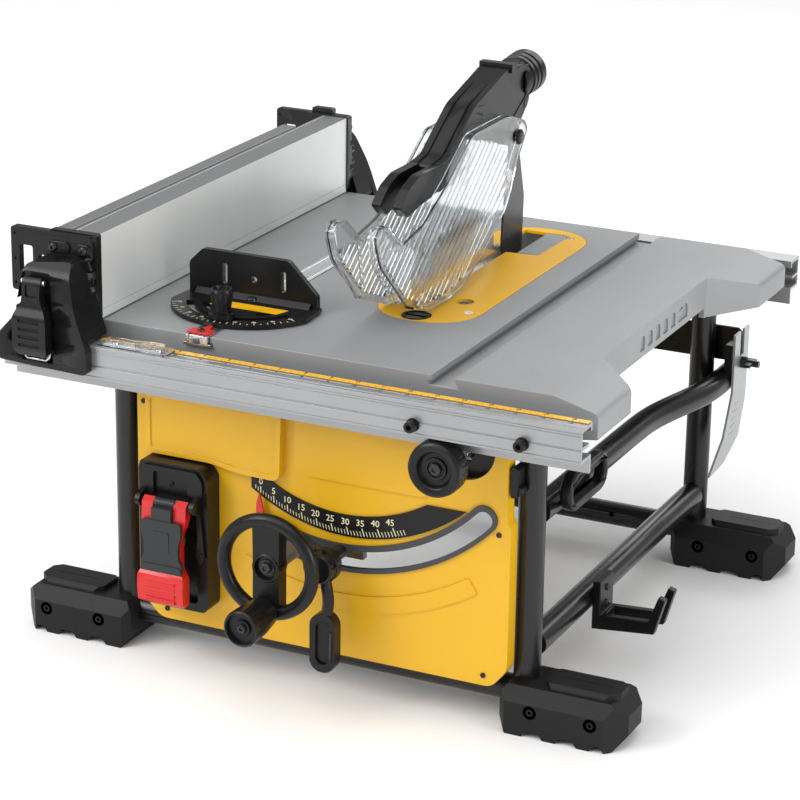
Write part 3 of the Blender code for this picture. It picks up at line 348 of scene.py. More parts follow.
def join(obj, *others):
    return boolean(obj, others, "UNION")


def trim(obj, other):
    return boolean(obj, [other], "INTERSECT")


def spot(centre, radius, turn):
    return centre[0] + radius * cos(turn), centre[1] + radius * sin(turn)


def flutes(obj, axis, centre, radius, count, low, high, width, sides=12, phase=0.0):
    """Cuts a ring of round grooves or holes, each running along the axis from low to high."""
    for i in range(count):
        u, v = spot(centre, radius, 2 * pi * i / count + phase)
        start, end = ({"x": (w, u, v), "y": (u, w, v), "z": (u, v, w)}[axis] for w in (low, high))
        cut(obj, rod(start, end, width, sides=sides))


def arc(centre, radius, start, end, count):
    return [spot(centre, radius, radians(start + (end - start) * i / count)) for i in range(count + 1)]


def ring(centre, radius, count):
    return arc(centre, radius, 0, 360 - 360 / count, count - 1)


def band(centre, inner, outer, start, end, count=40):
    """A ring sector; its angles are counted from straight down, positive to the right."""
    return arc(centre, outer, start - 90, end - 90, count) + arc(centre, inner, end - 90, start - 90, count)


def round_band(centre, inner, outer, start, end, count=48):
    """A ring sector whose ends are half circles."""
    half, middle = (outer - inner) / 2, (outer + inner) / 2
    low, high = start - 90, end - 90
    caps = []
    for turn, first in ((high, high), (low, low + 180)):
        at_end = spot(centre, middle, radians(turn))
        caps.append(arc(at_end, half, first, first + 180, 12)[1:-1])
    return arc(centre, outer, low, high, count) + caps[0] + arc(centre, inner, high, low, count) + caps[1]


def rounded(low, high, radius, count=8):
    (x0, y0), (x1, y1) = low, high
    points = []
    for cx, cy, start in ((x1 - radius, y1 - radius, 0), (x0 + radius, y1 - radius, 90),
                          (x0 + radius, y0 + radius, 180), (x1 - radius, y0 + radius, 270)):
        points += arc((cx, cy), radius, start, start + 90, count)
    return points


CORNER_SHARE = 0.45


def fillet(points, radius, count=4):
    """The outline with each corner rounded, as far as its sides allow."""
    made = []
    for i, corner in enumerate(points):
        here = Vector(corner)
        before = Vector(points[i - 1]) - here
        after = Vector(points[(i + 1) % len(points)]) - here
        reach = min(radius, before.length * CORNER_SHARE, after.length * CORNER_SHARE)
        start, end = here + before.normalized() * reach, here + after.normalized() * reach
        for k in range(count + 1):
            t = k / count
            made.append(tuple(start * (1 - t) ** 2 + here * 2 * t * (1 - t) + end * t ** 2))
    return made


def inset(points, distance):
    moved = []
    for i, (x, y) in enumerate(points):
        here = Vector((x, y))
        into = (here - Vector(points[i - 1])).normalized()
        out = (Vector(points[(i + 1) % len(points)]) - here).normalized()
        first, second = Vector((-into.y, into.x)), Vector((-out.y, out.x))
        moved.append(tuple(here + (first + second) * distance / (1 + first.dot(second))))
    return moved


def twinned(points, middle):
    """The outline with its mirror image on the other side of a middle value of the first axis."""
    return points + [(2 * middle - u, v) for u, v in reversed(points)]


def behind(points):
    """The same outline at the rear of the table, for an outline whose first axis is y."""
    return [(DEPTH - u, v) for u, v in reversed(points)]


def settle(obj):
    """Flat faces keep a flat shading beside the rounded edges."""
    normals = obj.modifiers.new("normals", "WEIGHTED_NORMAL")
    normals.keep_sharp = True


def soften(obj, width, segments, angle=35):
    bevel = obj.modifiers.new("edges", "BEVEL")
    bevel.width = width * MM
    bevel.segments = segments
    bevel.limit_method = "ANGLE"
    bevel.angle_limit = radians(angle)
    bevel.harden_normals = False
    obj.data.shade_smooth()
    settle(obj)


def eased(obj, width, segments, angle, sharp=40):
    """The shape with its edges rounded for good, before any cut that has to stay sharp."""
    soften(obj, width, segments, angle)
    return baked(obj, sharp)


def piece(obj, look, body, *nodes, edge=0.5, segments=2, angle=35):
    """Gives a shape its rounded edges, material, body and the CAD nodes it stands for."""
    if edge:
        soften(obj, edge, segments, angle)
    WORK.objects.unlink(obj)
    bpy.context.scene.collection.objects.link(obj)
    obj.data.materials.clear()
    obj.data.materials.append(material(look))
    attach(obj, body)
    if nodes:
        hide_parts(*nodes)
    return obj


def cap_screw(start, direction, radius, name, body="base", look="dark_steel"):
    """A round-headed screw with a star recess, set on a face and pointing out along direction."""
    start, direction = Vector(start), Vector(direction).normalized()
    high = 0.7 * radius
    profile = [(-0.4, radius), (high * 0.45, radius), (high * 0.8, radius * 0.86), (high, radius * 0.6)]
    head = lathe(start, start + direction * high, profile, name, 24)
    recess = start + direction * (high - 0.35 * radius)
    star = rod(recess, start + direction * (high + 1), radius * 0.42, sides=6)
    return piece(cut(head, star), look, body, edge=0)


BODY = {node: body for body, nodes in frame["record"]["behaviour"]["bodies"].items() for node in nodes}
REPLACED = set()


def look_of(node):
    """The record's material slot of a CAD node."""
    return NODES[node].data.materials[0].name.split(".")[0]


def skin(obj, *nodes, look=None, **edges):
    """A piece that stands for CAD nodes and takes the first one's body and finish."""
    REPLACED.update(nodes)
    return piece(obj, look or look_of(nodes[0]), BODY[nodes[0]], *nodes, **edges)


def sharp_skin(obj, node):
    """A piece with its edges rounded already, where later cuts keep theirs sharp."""
    obj = baked(obj, 30)
    settle(obj)
    skin(obj, node, edge=0)


def refined(node, *cutters, **edges):
    """The node's own shape with extra cuts and rounded edges."""
    return skin(cut(copy_of(node, f"{node}_skin"), *cutters), node, **edges)


# ---- table and throat

RIDGE_X = 243.0
WAIST = (115.0, 384.0)
KNOB_AT = (45.1, 146.5)


def waist_cuts():
    """The stepped lower edge and the seven arched pockets of each side between the wings."""
    made = []
    for side in (-1, 1):
        near, far, deep = side * (RIDGE_X + 1), side * (RIDGE_X - 7), side * (RIDGE_X - 2.4)
        made.append(box((near, WAIST[0] + 3, -41), (far, WAIST[1] - 3, -30)))
        for i in range(7):
            y, width = 214 + 20 * i - (8 if i == 6 else 0), 6 if i < 6 else 7
            arch = [(y - width, -24), (y + width, -24)] + arc((y, -9.5 - width), width, 0, 180, 10)
            made.append(prism(arch, "x", near, deep))
    return made


def table():
    top = copy_of("table_top", "table_top_skin")
    bm = bmesh.new()
    bm.from_mesh(top.data)
    weight = bm.edges.layers.float.new("bevel_weight_edge")
    for edge in bm.edges:
        ends = [vert.co for vert in edge.verts]
        wing = all(abs(co.x) > (RIDGE_X + 0.5) * MM and co.z > TABLE_HIGH.z - 13 * MM for co in ends)
        edge[weight] = 1.0 if wing and edge.calc_face_angle(0) > radians(20) else 0.0
    bm.to_mesh(top.data)
    bm.free()
    soften(top, 5.0, 3)
    top.modifiers["edges"].limit_method = "WEIGHT"
    top = baked(cut(baked(top, 30), *waist_cuts()), 30)
    soften(top, 0.5, 2, 40)
    top.modifiers["edges"].use_clamp_overlap = False
    return skin(top, "table_top", edge=0)


def countersunk(x, y, name):
    """A flat star screw sunk in the throat plate."""
    head = lathe((x, y, -2.2), (x, y, -0.4), [(0, 2), (0.6, 2.4), (1.8, 4.2)], name, 24)
    star = rod((x, y, -1.4), (x, y, 1), 1.7, sides=6)
    return piece(cut(head, star), "steel", "base", edge=0)


def throat():
    sunk = [(84.6, 177.0), (4.6, 167.0), (73.6, 448.0)]
    cones = [lathe((x, y, -3.1), (x, y, 0.1), [(0, 3), (1.2, 3), (3.2, 5.6)], sides=24) for x, y in sunk]
    refined("throat_plate", *cones, edge=0.6, segments=3)
    for i, (x, y) in enumerate(sunk):
        countersunk(x, y, f"throat_screw_{i}")
    insert = [(46, 378.5), (68.5, 380), (70.5, 452.5), (63.5, 455.5), (46, 455.5)]
    piece(prism(insert, "z", -3, -0.4, "rear_throat_insert"), "table_grey", "base", edge=0.4)
    x, y = KNOB_AT
    knob = lathe((x, y, -13), (x, y, 0.8), [(0, 7), (9.8, 7), (10, 13.8), (13.6, 13.8)], "throat_knob", 64)
    flutes(knob, "z", KNOB_AT, 17.4, 8, -3, 3, 5.2, 32, 0.2)
    slot = box((x - 10.5, y - 2, -2), (x + 10.5, y + 2, 2))
    dish = rod((x, y, -0.4), (x, y, 2), 11.5)
    skin(cut(knob, dish, slot), "throat_lock_knob", edge=0.4)


# ---- frame and feet

LEG_X = 206.5
LEG_Y = (50.0, 488.0)
TUBE = 12.5
FOOT_HALF = 35.0
FOOT_TOP = 45.0
PAD_TOP = 5.0


def legs(y, node):
    """Two legs flattened into the low tube they are welded to, with weld beads and fixing holes."""
    frame_part = rod((-290, y, FLOOR + 30), (290, y, FLOOR + 30), TUBE - 0.3, f"{node}_skin", 48)
    for x in (-LEG_X, LEG_X):
        join(frame_part, rod((x, y, FLOOR + 31), (x, y, -40.3), TUBE, sides=48))
        collar = lathe((x, y, FLOOR + 40), (x, y, FLOOR + 46), [(0, 13.2), (3, 13.0), (6, 12.6)])
        join(frame_part, collar)
    for x in (-150, -92, 120):
        cut(frame_part, rod((x, y - 20, FLOOR + 33), (x, y, FLOOR + 33), 2.6, sides=20))
    skin(frame_part, node, edge=0.8, angle=50)


def side_tubes():
    for side, word in ((-1, "left"), (1, "right")):
        x = side * LEG_X
        low = rod((x, 62.8, FLOOR + 71), (x, 475.2, FLOOR + 71), TUBE, f"{word}_low_skin", 48)
        skin(low, f"{word}_low_tube", edge=0.4)
        high, out = FLOOR + 199, side * (LEG_X + 2 * TUBE + 0.3)
        path = [(x, 62.8, high), (x, 180, high), (x, 290, high), (x + side * 1, 330, high)]
        path += [(x + side * 6, 362, high), (out - side * 7, 410, high), (out - side * 1, 440, high)]
        path += [(out, 470, high), (out, 490, high), (out, 507.6, high)]
        skin(tube(path, TUBE - 0.3, f"{word}_high_skin", True, 11), f"{word}_high_tube", edge=0)


def foot(node, side, y):
    """A boot with sloped shoulders, treads below and a raised pad towards its outer end."""
    def out(u):
        return side * (192 + u)

    tread = [(0, 14), (8, 0), (24, 0), (29, 6), (40, 6), (45, 0), (57, 0), (62, 6), (73, 6), (78, 0),
             (90, 0), (94, 6), (100, 6), (104, 0), (109, 0), (120, 14), (120, 33), (106, FOOT_TOP),
             (6, FOOT_TOP), (0, 38)]
    boot = prism([(out(u), FLOOR + z) for u, z in tread], "y", y - 40, y + 40, f"{node}_skin")
    plan = [(-1, -27), (8, -36), (102, -36), (121, -15), (121, 15), (102, 36), (8, 36), (-1, 27)]
    ends = (out(-2), out(122))
    half, top = FOOT_HALF, FLOOR + FOOT_TOP
    section = twinned([(y + half, FLOOR - 3), (y + half, top - 13), (y + half - 11, top)], y)
    trim(boot, prism([(out(u), y + v) for u, v in plan], "z", FLOOR - 2, top + 2))
    trim(boot, prism(section, "x", *ends))
    pad = [(46, -20), (98, -20), (109, -9), (109, 9), (98, 20), (46, 20), (38, 12), (38, -12)]
    block = prism([(out(u), y + v) for u, v in pad], "z", top - 6, top + PAD_TOP, "pad")
    crest = twinned([(y + 20, top - 7), (y + 20, top + 1), (y + 16, top + PAD_TOP)], y)
    trim(block, prism(crest, "x", *ends))
    join(boot, baked(block))
    boot = eased(baked(boot, 30), 2.0, 3, 25, 30)
    cut(boot, box((out(52), y - 0.4, top + PAD_TOP - 0.8), (out(98), y + 0.4, top + PAD_TOP + 1)))
    for u in (32, 90):
        for face in (-1, 1):
            seat = (out(u), y + face * (half - 3), FLOOR + 25)
            cut(boot, rod(seat, (out(u), y + face * 36, FLOOR + 25), 6.5))
            name = f"{node}_screw_{u}_{face + 1}"
            cap_screw(seat, (0, face, 0), 4.6, name, look="black_plastic")
    sharp_skin(boot, node)


def stand():
    legs(LEG_Y[0], "front_leg_frame")
    legs(LEG_Y[1], "rear_leg_frame")
    side_tubes()
    for side, word in ((-1, "left"), (1, "right")):
        for y, end in zip(LEG_Y, ("front", "rear")):
            foot(f"{end}_{word}_foot", side, y)


# ---- front panel and bevel scale

PANEL = [(-179, -272), (-157, -294), (184, -294), (199, -276), (199, -138), (195, -132), (195, -66),
         (-179, -66)]
BOSS = [(-166, -126), (-98, -126), (-70, -131), (-27, -132), (-25, -66.3), (-166, -66.3)]
PIVOT = (BLADE_X, 0.0)
PINION = (152.6, -70.0)


def scale_point(degrees_down, radius):
    turn = radians(degrees_down)
    return BLADE_X + radius * sin(turn), -radius * cos(turn)


def front_panel():
    outer = fillet(PANEL, 7)
    shell = prism(outer, "y", 20, 36, "front_panel_skin")
    cut(shell, prism(inset(outer, 3), "y", 23, 37))
    boss = fillet(BOSS, 9, 6)
    join(shell, prism(boss, "y", 12, 21))
    field = fillet([(-14, -66.3), (-14, -118), (4, -123), (116, -123), (126, -112), (126, -66.3)], 7, 5)
    join(shell, prism(field, "y", 17, 21))
    belt = band(PIVOT, 232, 248, -24, 34)
    join(shell, prism(fillet(belt, 4, 2), "y", 18.4, 21))
    shell = eased(baked(shell), 2.6, 4, 60, 30)
    cut(shell, baked(prism(inset(boss, 5), "y", 11, 13.4, "pocket")))
    cut(shell, prism(round_band(PIVOT, *SLOT_RADII, *SLOT_ANGLES), "y", 10, 26))
    x, z = PINION
    cut(shell, rod((x, 15, z), (x, 40, z), 30, sides=64))
    sharp_skin(shell, "front_panel")
    shield = lathe((x, 35.8, z), (x, 33, z), [(0, 33), (2.8, 33)], "pinion_shield", 64)
    cut(shield, rod((x, 30, z), (x, 40, z), 8))
    piece(shield, "black_plastic", "base", edge=0.4)
    for i, (x, z) in enumerate(((-172, -80), (-150, -284), (176, -284), (188, -146))):
        cap_screw((x, 20, z), (0, -1, 0), 2.6, f"panel_screw_{i}")
    lug = fillet([(197, -110), (203, -110), (204.5, -84), (199, -80), (197, -84)], 2)
    lug = prism(lug, "y", 22, 36, "panel_lug")
    piece(join(lug, rod((203, 24, -104), (203, 34, -104), 4.5)), "black_plastic", "base", edge=0.6)


SCALE_START = -29.8
SCALE_STEP = 1.082
SLOT_RADII = (188.0, 205.5)
SLOT_ANGLES = (-17.0, 47.0)


def arc_trim():
    """The dark rim round the slot that the bevel lock moves in."""
    inner, outer = SLOT_RADII
    low, high = SLOT_ANGLES
    rim = prism(round_band(PIVOT, inner - 5.2, outer + 3.8, low, high), "y", 17.6, 22, "arc_slot_rim")
    cut(rim, prism(round_band(PIVOT, inner + 0.4, outer - 0.4, low, high), "y", 16, 23))
    piece(rim, "trim_grey", "base", edge=0.7)


def ticks():
    """A mark for each degree, longer at each fifth, leaning more towards the scale's far end."""
    items = []
    for value in range(-2, 49):
        x, z = scale_point(1.057 * value - 28.05, 167.4 + 0.178 * value)
        lean = radians(0.56 * value)
        fifth = value % 5 == 0
        long = (6 + 0.05 * value) * (1 if fifth else 0.62)
        middle = at(x - long / 2 * sin(lean), 17.9, z + long / 2 * cos(lean))
        items.append((middle, Matrix.Rotation(-lean, 4, "Y"), (0.8 if fifth else 0.5, 0.2, long)))
    piece(bars("bevel_marks", items), "print_pale", "base", edge=0)


def pointer():
    """A red leaf at the scale, on a black arm that curls round behind the handwheel's rim."""
    leaf = fillet([(-47.8, -146.5), (-50.8, -156), (-51.4, -168), (-49.4, -176), (-44.2, -176),
                   (-43.6, -166), (-45.6, -155)], 1.2)
    skin(prism(leaf, "y", 13, 15, "bevel_pointer_skin"), "bevel_pointer", edge=0.3)
    arm = arc((-36, -213), 46, 36, 112, 20) + arc((-36, -213), 40, 112, 36, 20)
    piece(prism(arm, "y", 13.4, 16, "pointer_arm"), "black_plastic", "bevel_carriage", edge=0.5)


def bevel_scale():
    """A black strip with its figures; its inner edge and its figures draw outwards towards the far end."""
    outer = [scale_point(turn, 174.2 + 0.157 * turn) for turn in range(-36, 51)]
    inner = [scale_point(turn, 153.8 + 0.09 * turn) for turn in range(50, -37, -1)]
    black = prism(outer + inner, "y", 18, 19.7, "bevel_scale_skin")
    trim(black, box((-58.5, 10, -200), (200, 30, -130)))
    skin(black, "bevel_scale", edge=0.3)
    ticks()
    items = []
    for value in range(0, 50, 5):
        x, z = scale_point(SCALE_START + SCALE_STEP * value, 158 + 0.09 * value)
        items.append((str(value), (x, 17.9, z)))
    figures(items, 8.6, Matrix.Rotation(pi / 2, 4, "X"), "print_pale", "base", "bevel_figures")
    pointer()


# ---- switch

FLAP_X = (-153.5, -105.5)


def switch_housing():
    outline = fillet([(-157, -270), (-97, -270), (-93, -264), (-93, -138), (-101, -128), (-163, -128),
                      (-165, -134), (-165, -258)], 3)
    plate = prism(outline, "y", -3, 19.6, "switch_housing_skin")
    hood = [(-161, -166), (-99, -166), (-97, -150), (-97, -140), (-103, -131), (-159, -131)]
    join(plate, prism(fillet(hood, 3), "y", -6, 0))
    cut(plate, prism(fillet([(-148, -160), (-112, -160), (-112, -136), (-148, -136)], 2), "y", -9, -2.5))
    cut(plate, prism(fillet([(-155, -262), (-104, -262), (-104, -168), (-155, -168)], 4), "y", -9, 6))
    middle = sum(FLAP_X) / 2
    cut(plate, rod((middle, 5, -204), (middle, 10.5, -204), 9.6))
    for x in (-142.5, -134, -125.5):
        join(plate, box((x - 2.6, -5.4, -180), (x + 2.6, 0, -160)))
    for x0, x1 in ((-160, -155.5), (-103.5, -99)):
        ear = [(-4, -172), (-19, -167), (-21, -161), (-16, -155.5), (-4, -153)]
        join(plate, prism(fillet(ear, 3), "x", x0, x1))
    arm = [(-103, -168), (-99, -168), (-96.5, -190), (-95, -214), (-99, -222), (-104, -214), (-101.5, -196)]
    join(plate, prism(fillet(arm, 2), "y", -7, 1))
    skin(plate, "switch_housing", edge=0.9, segments=3)
    cap_screw((-130, -2.6, -147), (0, -1, 0), 2.1, "switch_screw", look="black_plastic")
    cap_screw((-101.3, -14, -162), (1, 0, 0), 2.4, "switch_hinge_end", look="black_plastic")
    cap_screw((-98.4, -7, -210), (0, -1, 0), 2.0, "switch_arm_screw", look="black_plastic")


def switch_flap():
    x0, x1 = FLAP_X
    side = [(-14, -157.2), (-19.5, -161.5), (-21.5, -184), (-22.6, -222), (-28.4, -230), (-29, -243),
            (-27.6, -256), (-22, -260), (-16, -258), (-16, -184), (-8.5, -166)]
    body = prism(side, "x", x0, x1, "stop_paddle")
    front = twinned([(x0 + 1, -150), (x0 + 1, -180), (x0 + 5, -190), (x0 + 5, -222), (x0, -230),
                     (x0 - 0.5, -256), (x0 + 4, -262)], (x0 + x1) / 2)
    trim(body, prism(fillet(front, 3), "y", -32, -4))
    cut(body, box((-141, -30, -176), (-119, -4, -150)))
    for i in range(4):
        z = -235.5 - 6 * i
        join(body, tube([(-145, -28.0, z), (-114, -28.0, z)], 2.1, resolution=3))
    skin(body, "switch_flap", edge=1.2, segments=3)
    hinge = rod((-141, -14.5, -162), (-119, -14.5, -162), 4.6)
    piece(hinge, "grey_plastic", "stop_flap", edge=0.5).name = "flap_hinge"
    plate = [(-150, -176), (-109, -176), (-108.5, -190), (-111.5, -196), (-111.5, -211), (-108, -217),
             (-108, -225), (-151, -225), (-151, -217), (-147.5, -211), (-147.5, -196), (-150.5, -190)]
    shield = prism(fillet(plate, 3), "y", -26, -22)
    join(shield, box((-140, -25, -178), (-119.5, -17, -164)))
    lip = [(-150, -219), (-109, -219), (-108, -226), (-151, -226)]
    join(shield, prism(fillet(lip, 1.5), "y", -27, -24))
    sign = [(-139, -206), (-121, -206), (-121, -186), (-139, -186)]
    join(shield, prism(fillet(sign, 3), "y", -26.5, -25))
    skin(shield, "switch_flap_plate", edge=0.7, segments=3)


# ---- handwheel and bevel lock

WHEEL = (-8.0, -190.0)
WHEEL_RADII = (44.5 * MM, 6.5 * MM)
CRANK_Z = -231.0
LOCK = (34.0, -190.0)


def handwheel():
    x, z = WHEEL
    major, minor = WHEEL_RADII
    bpy.ops.mesh.primitive_torus_add(major_radius=major, minor_radius=minor, major_segments=96,
                                     minor_segments=24)
    torus = bpy.context.object
    place = Matrix.Translation(at(x, -45, z)) @ Matrix.Rotation(pi / 2, 4, "X")
    rim = put(torus.data.copy(), "handwheel_skin", place)
    bpy.data.objects.remove(torus, do_unlink=True)
    spoke = twinned([(x + 13.5, z - 42), (x + 13, z), (x + 13.5, z + 42)], x)
    join(rim, prism(spoke, "y", -49, -41))
    for side in (1, -1):
        join(rim, box((x + side * 9.5, -44, z - 42), (x + side * 13, -34, z + 42)))
    hub = lathe((x, -50.2, z), (x, -32, z), [(0, 12.6), (0.8, 13.6), (12, 14.4), (18.2, 13)])
    join(rim, hub, rod((x, -46, CRANK_Z), (x, -90, CRANK_Z), 4))
    cut(rim, lathe((x, -52, z), (x, -45.8, z), [(0, 11.4), (2.2, 11), (6.2, 9.8)]))
    cut(rim, rod((x, -47, z), (x, -30, z), 4.3))
    skin(rim, "handwheel", edge=0.6)
    washer = lathe((x, -45.7, z), (x, -46.9, z), [(0, 7.6), (1.2, 7.4)], "wheel_washer")
    piece(washer, "dark_steel", "height_wheel", edge=0)
    bolt = lathe((x, -46.8, z), (x, -51, z), [(0, 5.4), (3.4, 5.4), (4.2, 4.6)], "wheel_bolt", 6)
    piece(cut(bolt, rod((x, -49.5, z), (x, -52, z), 2.2)), "dark_steel", "height_wheel", edge=0.3)
    shaft = lathe((x, -46.6, z), (x, 74.5, z), [(0, 4), (110, 4), (116.6, 9.6), (121.1, 5.2)], "shaft_skin")
    skin(shaft, "handwheel_shaft", edge=0.3)


def crank_knob():
    x = WHEEL[0]
    steps = [(0, 13.0), (1.4, 14.4), (8, 15.2), (20, 16.8), (40, 17.5), (42.6, 17.1), (43.8, 15.8),
             (43.2, 14.6), (38.5, 13.8), (38, 7.6), (40, 7.2), (40, 4)]
    knob = lathe((x, -53, CRANK_Z), (x, -97, CRANK_Z), steps, "crank_knob_skin", 64)
    flutes(knob, "y", (x, CRANK_Z), 18.9, 18, -68, -92, 2.1)
    cut(knob, rod((x, -52, CRANK_Z), (x, -91, CRANK_Z), 4.3))
    skin(knob, "crank_knob", edge=0.3)
    cap_screw((x, -93, CRANK_Z), (0, -1, 0), 4.4, "crank_screw", "crank")


def lock_lever():
    x, z = LOCK
    steps = [(0, 12.6), (1.6, 14.4), (10, 15), (10.6, 16.2), (17, 16.2), (18, 13.4), (23, 13.4)]
    hub = lathe((x, -31, z), (x, -8, z), steps, "lever_skin", 64)
    flutes(hub, "y", LOCK, 18.2, 6, -31, -22, 4.4, 32, 0.3)
    barrel = lathe((x, -12, z), (x, 39.6, z), [(0, 6), (51.6, 6)], sides=32)
    path = [(x, -20, z), (x + 4, -22, z - 12), (x + 8, -23, z - 26), (x + 7, -21, z - 40),
            (x + 3, -20, z - 54)]
    arm = tube(path, 5.4, smooth=True, resolution=6)
    x += 3
    grip = rounded((x - 12.8, z - 102), (x + 12.8, z - 45), 12, 10)
    join(hub, barrel, arm, eased(baked(prism(grip, "y", -26, -14)), 2.6, 3, 50))
    dish = rounded((x - 6.8, z - 94), (x + 6.8, z - 53), 6.4)
    cut(hub, prism(dish, "y", -30, -23.2))
    skin(hub, "bevel_lock_lever", edge=0.7, segments=3)


# ---- rails and their knob

RAIL_X = (-283.4, 286.0)
RULE_X = -187.0
QUARTER_INCH = 6.35


def figures(items, size, turn, look, body, name):
    """Several figures of one scale as one piece; each item is its text and place."""
    bm = bmesh.new()
    for text, place in items:
        curve = bpy.data.curves.new(name, "FONT")
        curve.body = text
        curve.size = size * MM
        curve.extrude = 0.1 * MM
        curve.align_x = "CENTER"
        curve.align_y = "CENTER"
        curve.resolution_u = 3
        made = baked(put(curve, name, Matrix.Translation(at(*place)) @ turn))
        bm.from_mesh(made.data)
        bpy.data.objects.remove(made, do_unlink=True)
    return piece(put(mesh_of(bm, name), name), look, body, edge=0)


def rail_bolt(x, name):
    """A black hexagon-socket bolt with its washer, on the front of the rail."""
    steps = [(0, 6.2), (1.4, 6.2), (1.5, 4.4), (4, 4.4), (4.1, 5.2), (8.6, 5.2), (9.2, 4.6)]
    bolt = lathe((x, -40, -33), (x, -49.4, -33), steps, name, 32)
    cut(bolt, rod((x, -45, -33), (x, -51, -33), 2.7, sides=6))
    piece(bolt, "black_plastic", "rails", edge=0.25)


def ruler():
    refined("rip_ruler", edge=0.1)
    marks, items = [], []
    top = -11.05
    for i in range(int((RAIL_X[1] - RULE_X) / QUARTER_INCH)):
        x = RULE_X + QUARTER_INCH * i
        long = 2.6 if i % 4 == 0 else 1.5
        marks.append(((x - 0.22, -22.8, top), (x + 0.22, -22.8 + long, top + 0.12)))
        if i % 4 == 0 and i:
            items.append((str(i // 4), (x, -18.3, top + 0.05)))
            items.append((str(i // 4), (x, -26.6, -11.95)))
    piece(boxes("ruler_marks", *marks), "print_dark", "rails", edge=0)
    figures(items, 4.6, Matrix.Identity(4), "print_dark", "rails", "ruler_figures")


def cursor():
    x0, x1 = -186, -113.5
    outline = fillet([(x0, -39), (x1, -39), (x1, -20), (x1 - 14, -14), (x0, -14)], 4)
    plate = prism(outline, "z", -10.7, -9.5, "cursor_skin")
    lens = fillet([(x0 + 34, -30), (x0 + 66, -30), (x0 + 60, -16), (x0 + 40, -16)], 3)
    join(plate, prism(lens, "z", -9.6, -7.6))
    for y in (-37, -26):
        join(plate, box((x0 + 6, y - 0.7, -9.6), (x1 - 6, y + 0.7, -8.4)))
    skin(plate, "rip_cursor", edge=0.4, segments=3)
    for i, x in enumerate((x0 + 16, x1 - 12)):
        cap_screw((x, -31.5, -9.5), (0, 0, 1), 3.2, f"cursor_screw_{i}", look="steel")
    line = boxes("cursor_line", ((x0 + 49.7, -36, -9.45), (x0 + 50.3, -15, -9.3)))
    piece(line, "red_plastic", "base", edge=0)


def rail_knob():
    x, z = PINION
    steps = [(0, 21), (1, 25), (2.2, 25.5), (13.5, 25.5), (17.6, 24.6), (19, 22.4), (18.6, 18.2),
             (17.4, 16.6), (14.2, 15.6), (12.6, 14.2), (12.6, 10.6), (14.6, 10.1), (14.8, 7.4), (13, 7.1)]
    knob = lathe((x, -26, z), (x, -46, z), steps, "rail_knob_skin", 96)
    flutes(knob, "y", PINION, 27.2, 24, -29.5, -39, 2.3)
    skin(knob, "rail_knob", edge=0.3)
    nut = lathe((x, -38.4, z), (x, -42.5, z), [(0, 6), (3.6, 6), (4.1, 5.2)], "rail_knob_nut", 6)
    piece(cut(nut, rod((x, -41, z), (x, -44, z), 2.6)), "dark_steel", "rail_pinion", edge=0.3)


def rails():
    x0, x1 = RAIL_X[0] - 1, RAIL_X[1] + 1
    grooves = [box((x0, -41, z - 0.35), (x1, -39.4, z + 0.35)) for z in (-15.6, -18.0, -40.4)]
    grooves += [box((x0, y - 0.4, -12.5), (x1, y + 0.4, -11)) for y in (-36.5, -34.5, -26)]
    refined("front_rail", *grooves, edge=0.35)
    refined("rear_rail", edge=0.35)
    for i, x in enumerate((130.6, 232.6)):
        rail_bolt(x, f"rail_bolt_{i}")
    ruler()
    cursor()
    rail_knob()


# ---- rip fence

FENCE_X = (-248.4, -233.4, -202.4)
FENCE_Z = (1.3, 81.0)
LATCH = (-49.5, 43.0)
LATCH_X = (-261.0, -225.5)


def shade_top(bar):
    """The upper faces of an extrusion get a darker copy of its aluminium, as painted shade on the tops."""
    bar.data.materials.append(material("painted_shade_aluminium"))
    for face in bar.data.polygons:
        if face.normal.z > 0.7:
            face.material_index = 1


def fence_bars():
    left, split, face = FENCE_X
    top = FENCE_Z[1]
    slots = [box((split + 0.2, -2, top - 5), (split + 3.2, 496, top + 1))]
    slots.append(box((face - 25.6, -2, top - 0.5), (face - 24.8, 496, top + 1)))
    slots.append(box((face - 1, -2, 9), (face + 1, 496, 9.5)))
    # the upper faces of both fence bars get painted shade, a darker copy of their aluminium
    shade_top(refined("fence_beam", *slots, look="fence_face", edge=0.7, segments=3))
    ribs = [box((x, -2, top - 0.6), (x + 0.7, 441, top + 1)) for x in (left + 3, left + 6.5, left + 10)]
    shade_top(refined("fence_work_support", *ribs, edge=0.5))


def slabs(mirror):
    """A maker of upright plates at the front end, or at the mirrored place at the rear."""
    def slab(outline, y0, y1, holes=()):
        levels = (DEPTH - y1, DEPTH - y0) if mirror else (y0, y1)
        return prism(outline, "y", *levels, holes=holes)

    return slab


def tower(mirror, name):
    """The latch housing: its sides taper upwards and its top rolls back."""
    slab = slabs(mirror)
    right = -221 if mirror else -212
    lower = fillet([(-283.4, -35), (-190, -38), (-190, -15), (-199, 11), (right, 62), (-257, 57),
                    (-263, 11), (-283.4, -11)], 5, 5)
    shell = slab(lower, -50, -40.9)
    shell.name = name
    upper = fillet([(-269, -11), (-192, -11), (-199, 11), (right, 62), (-257, 57), (-263, 11)], 5, 5)
    shell = baked(join(shell, slab(upper, -41, -8)))
    side = fillet([(-4, -45), (-52, -45), (-50.5, 22), (-45, 50), (-32, 64), (-4, 64)], 6, 6)
    trim(shell, prism(behind(side) if mirror else side, "x", -290, -180))
    return eased(baked(shell), 1.8, 3, 40)


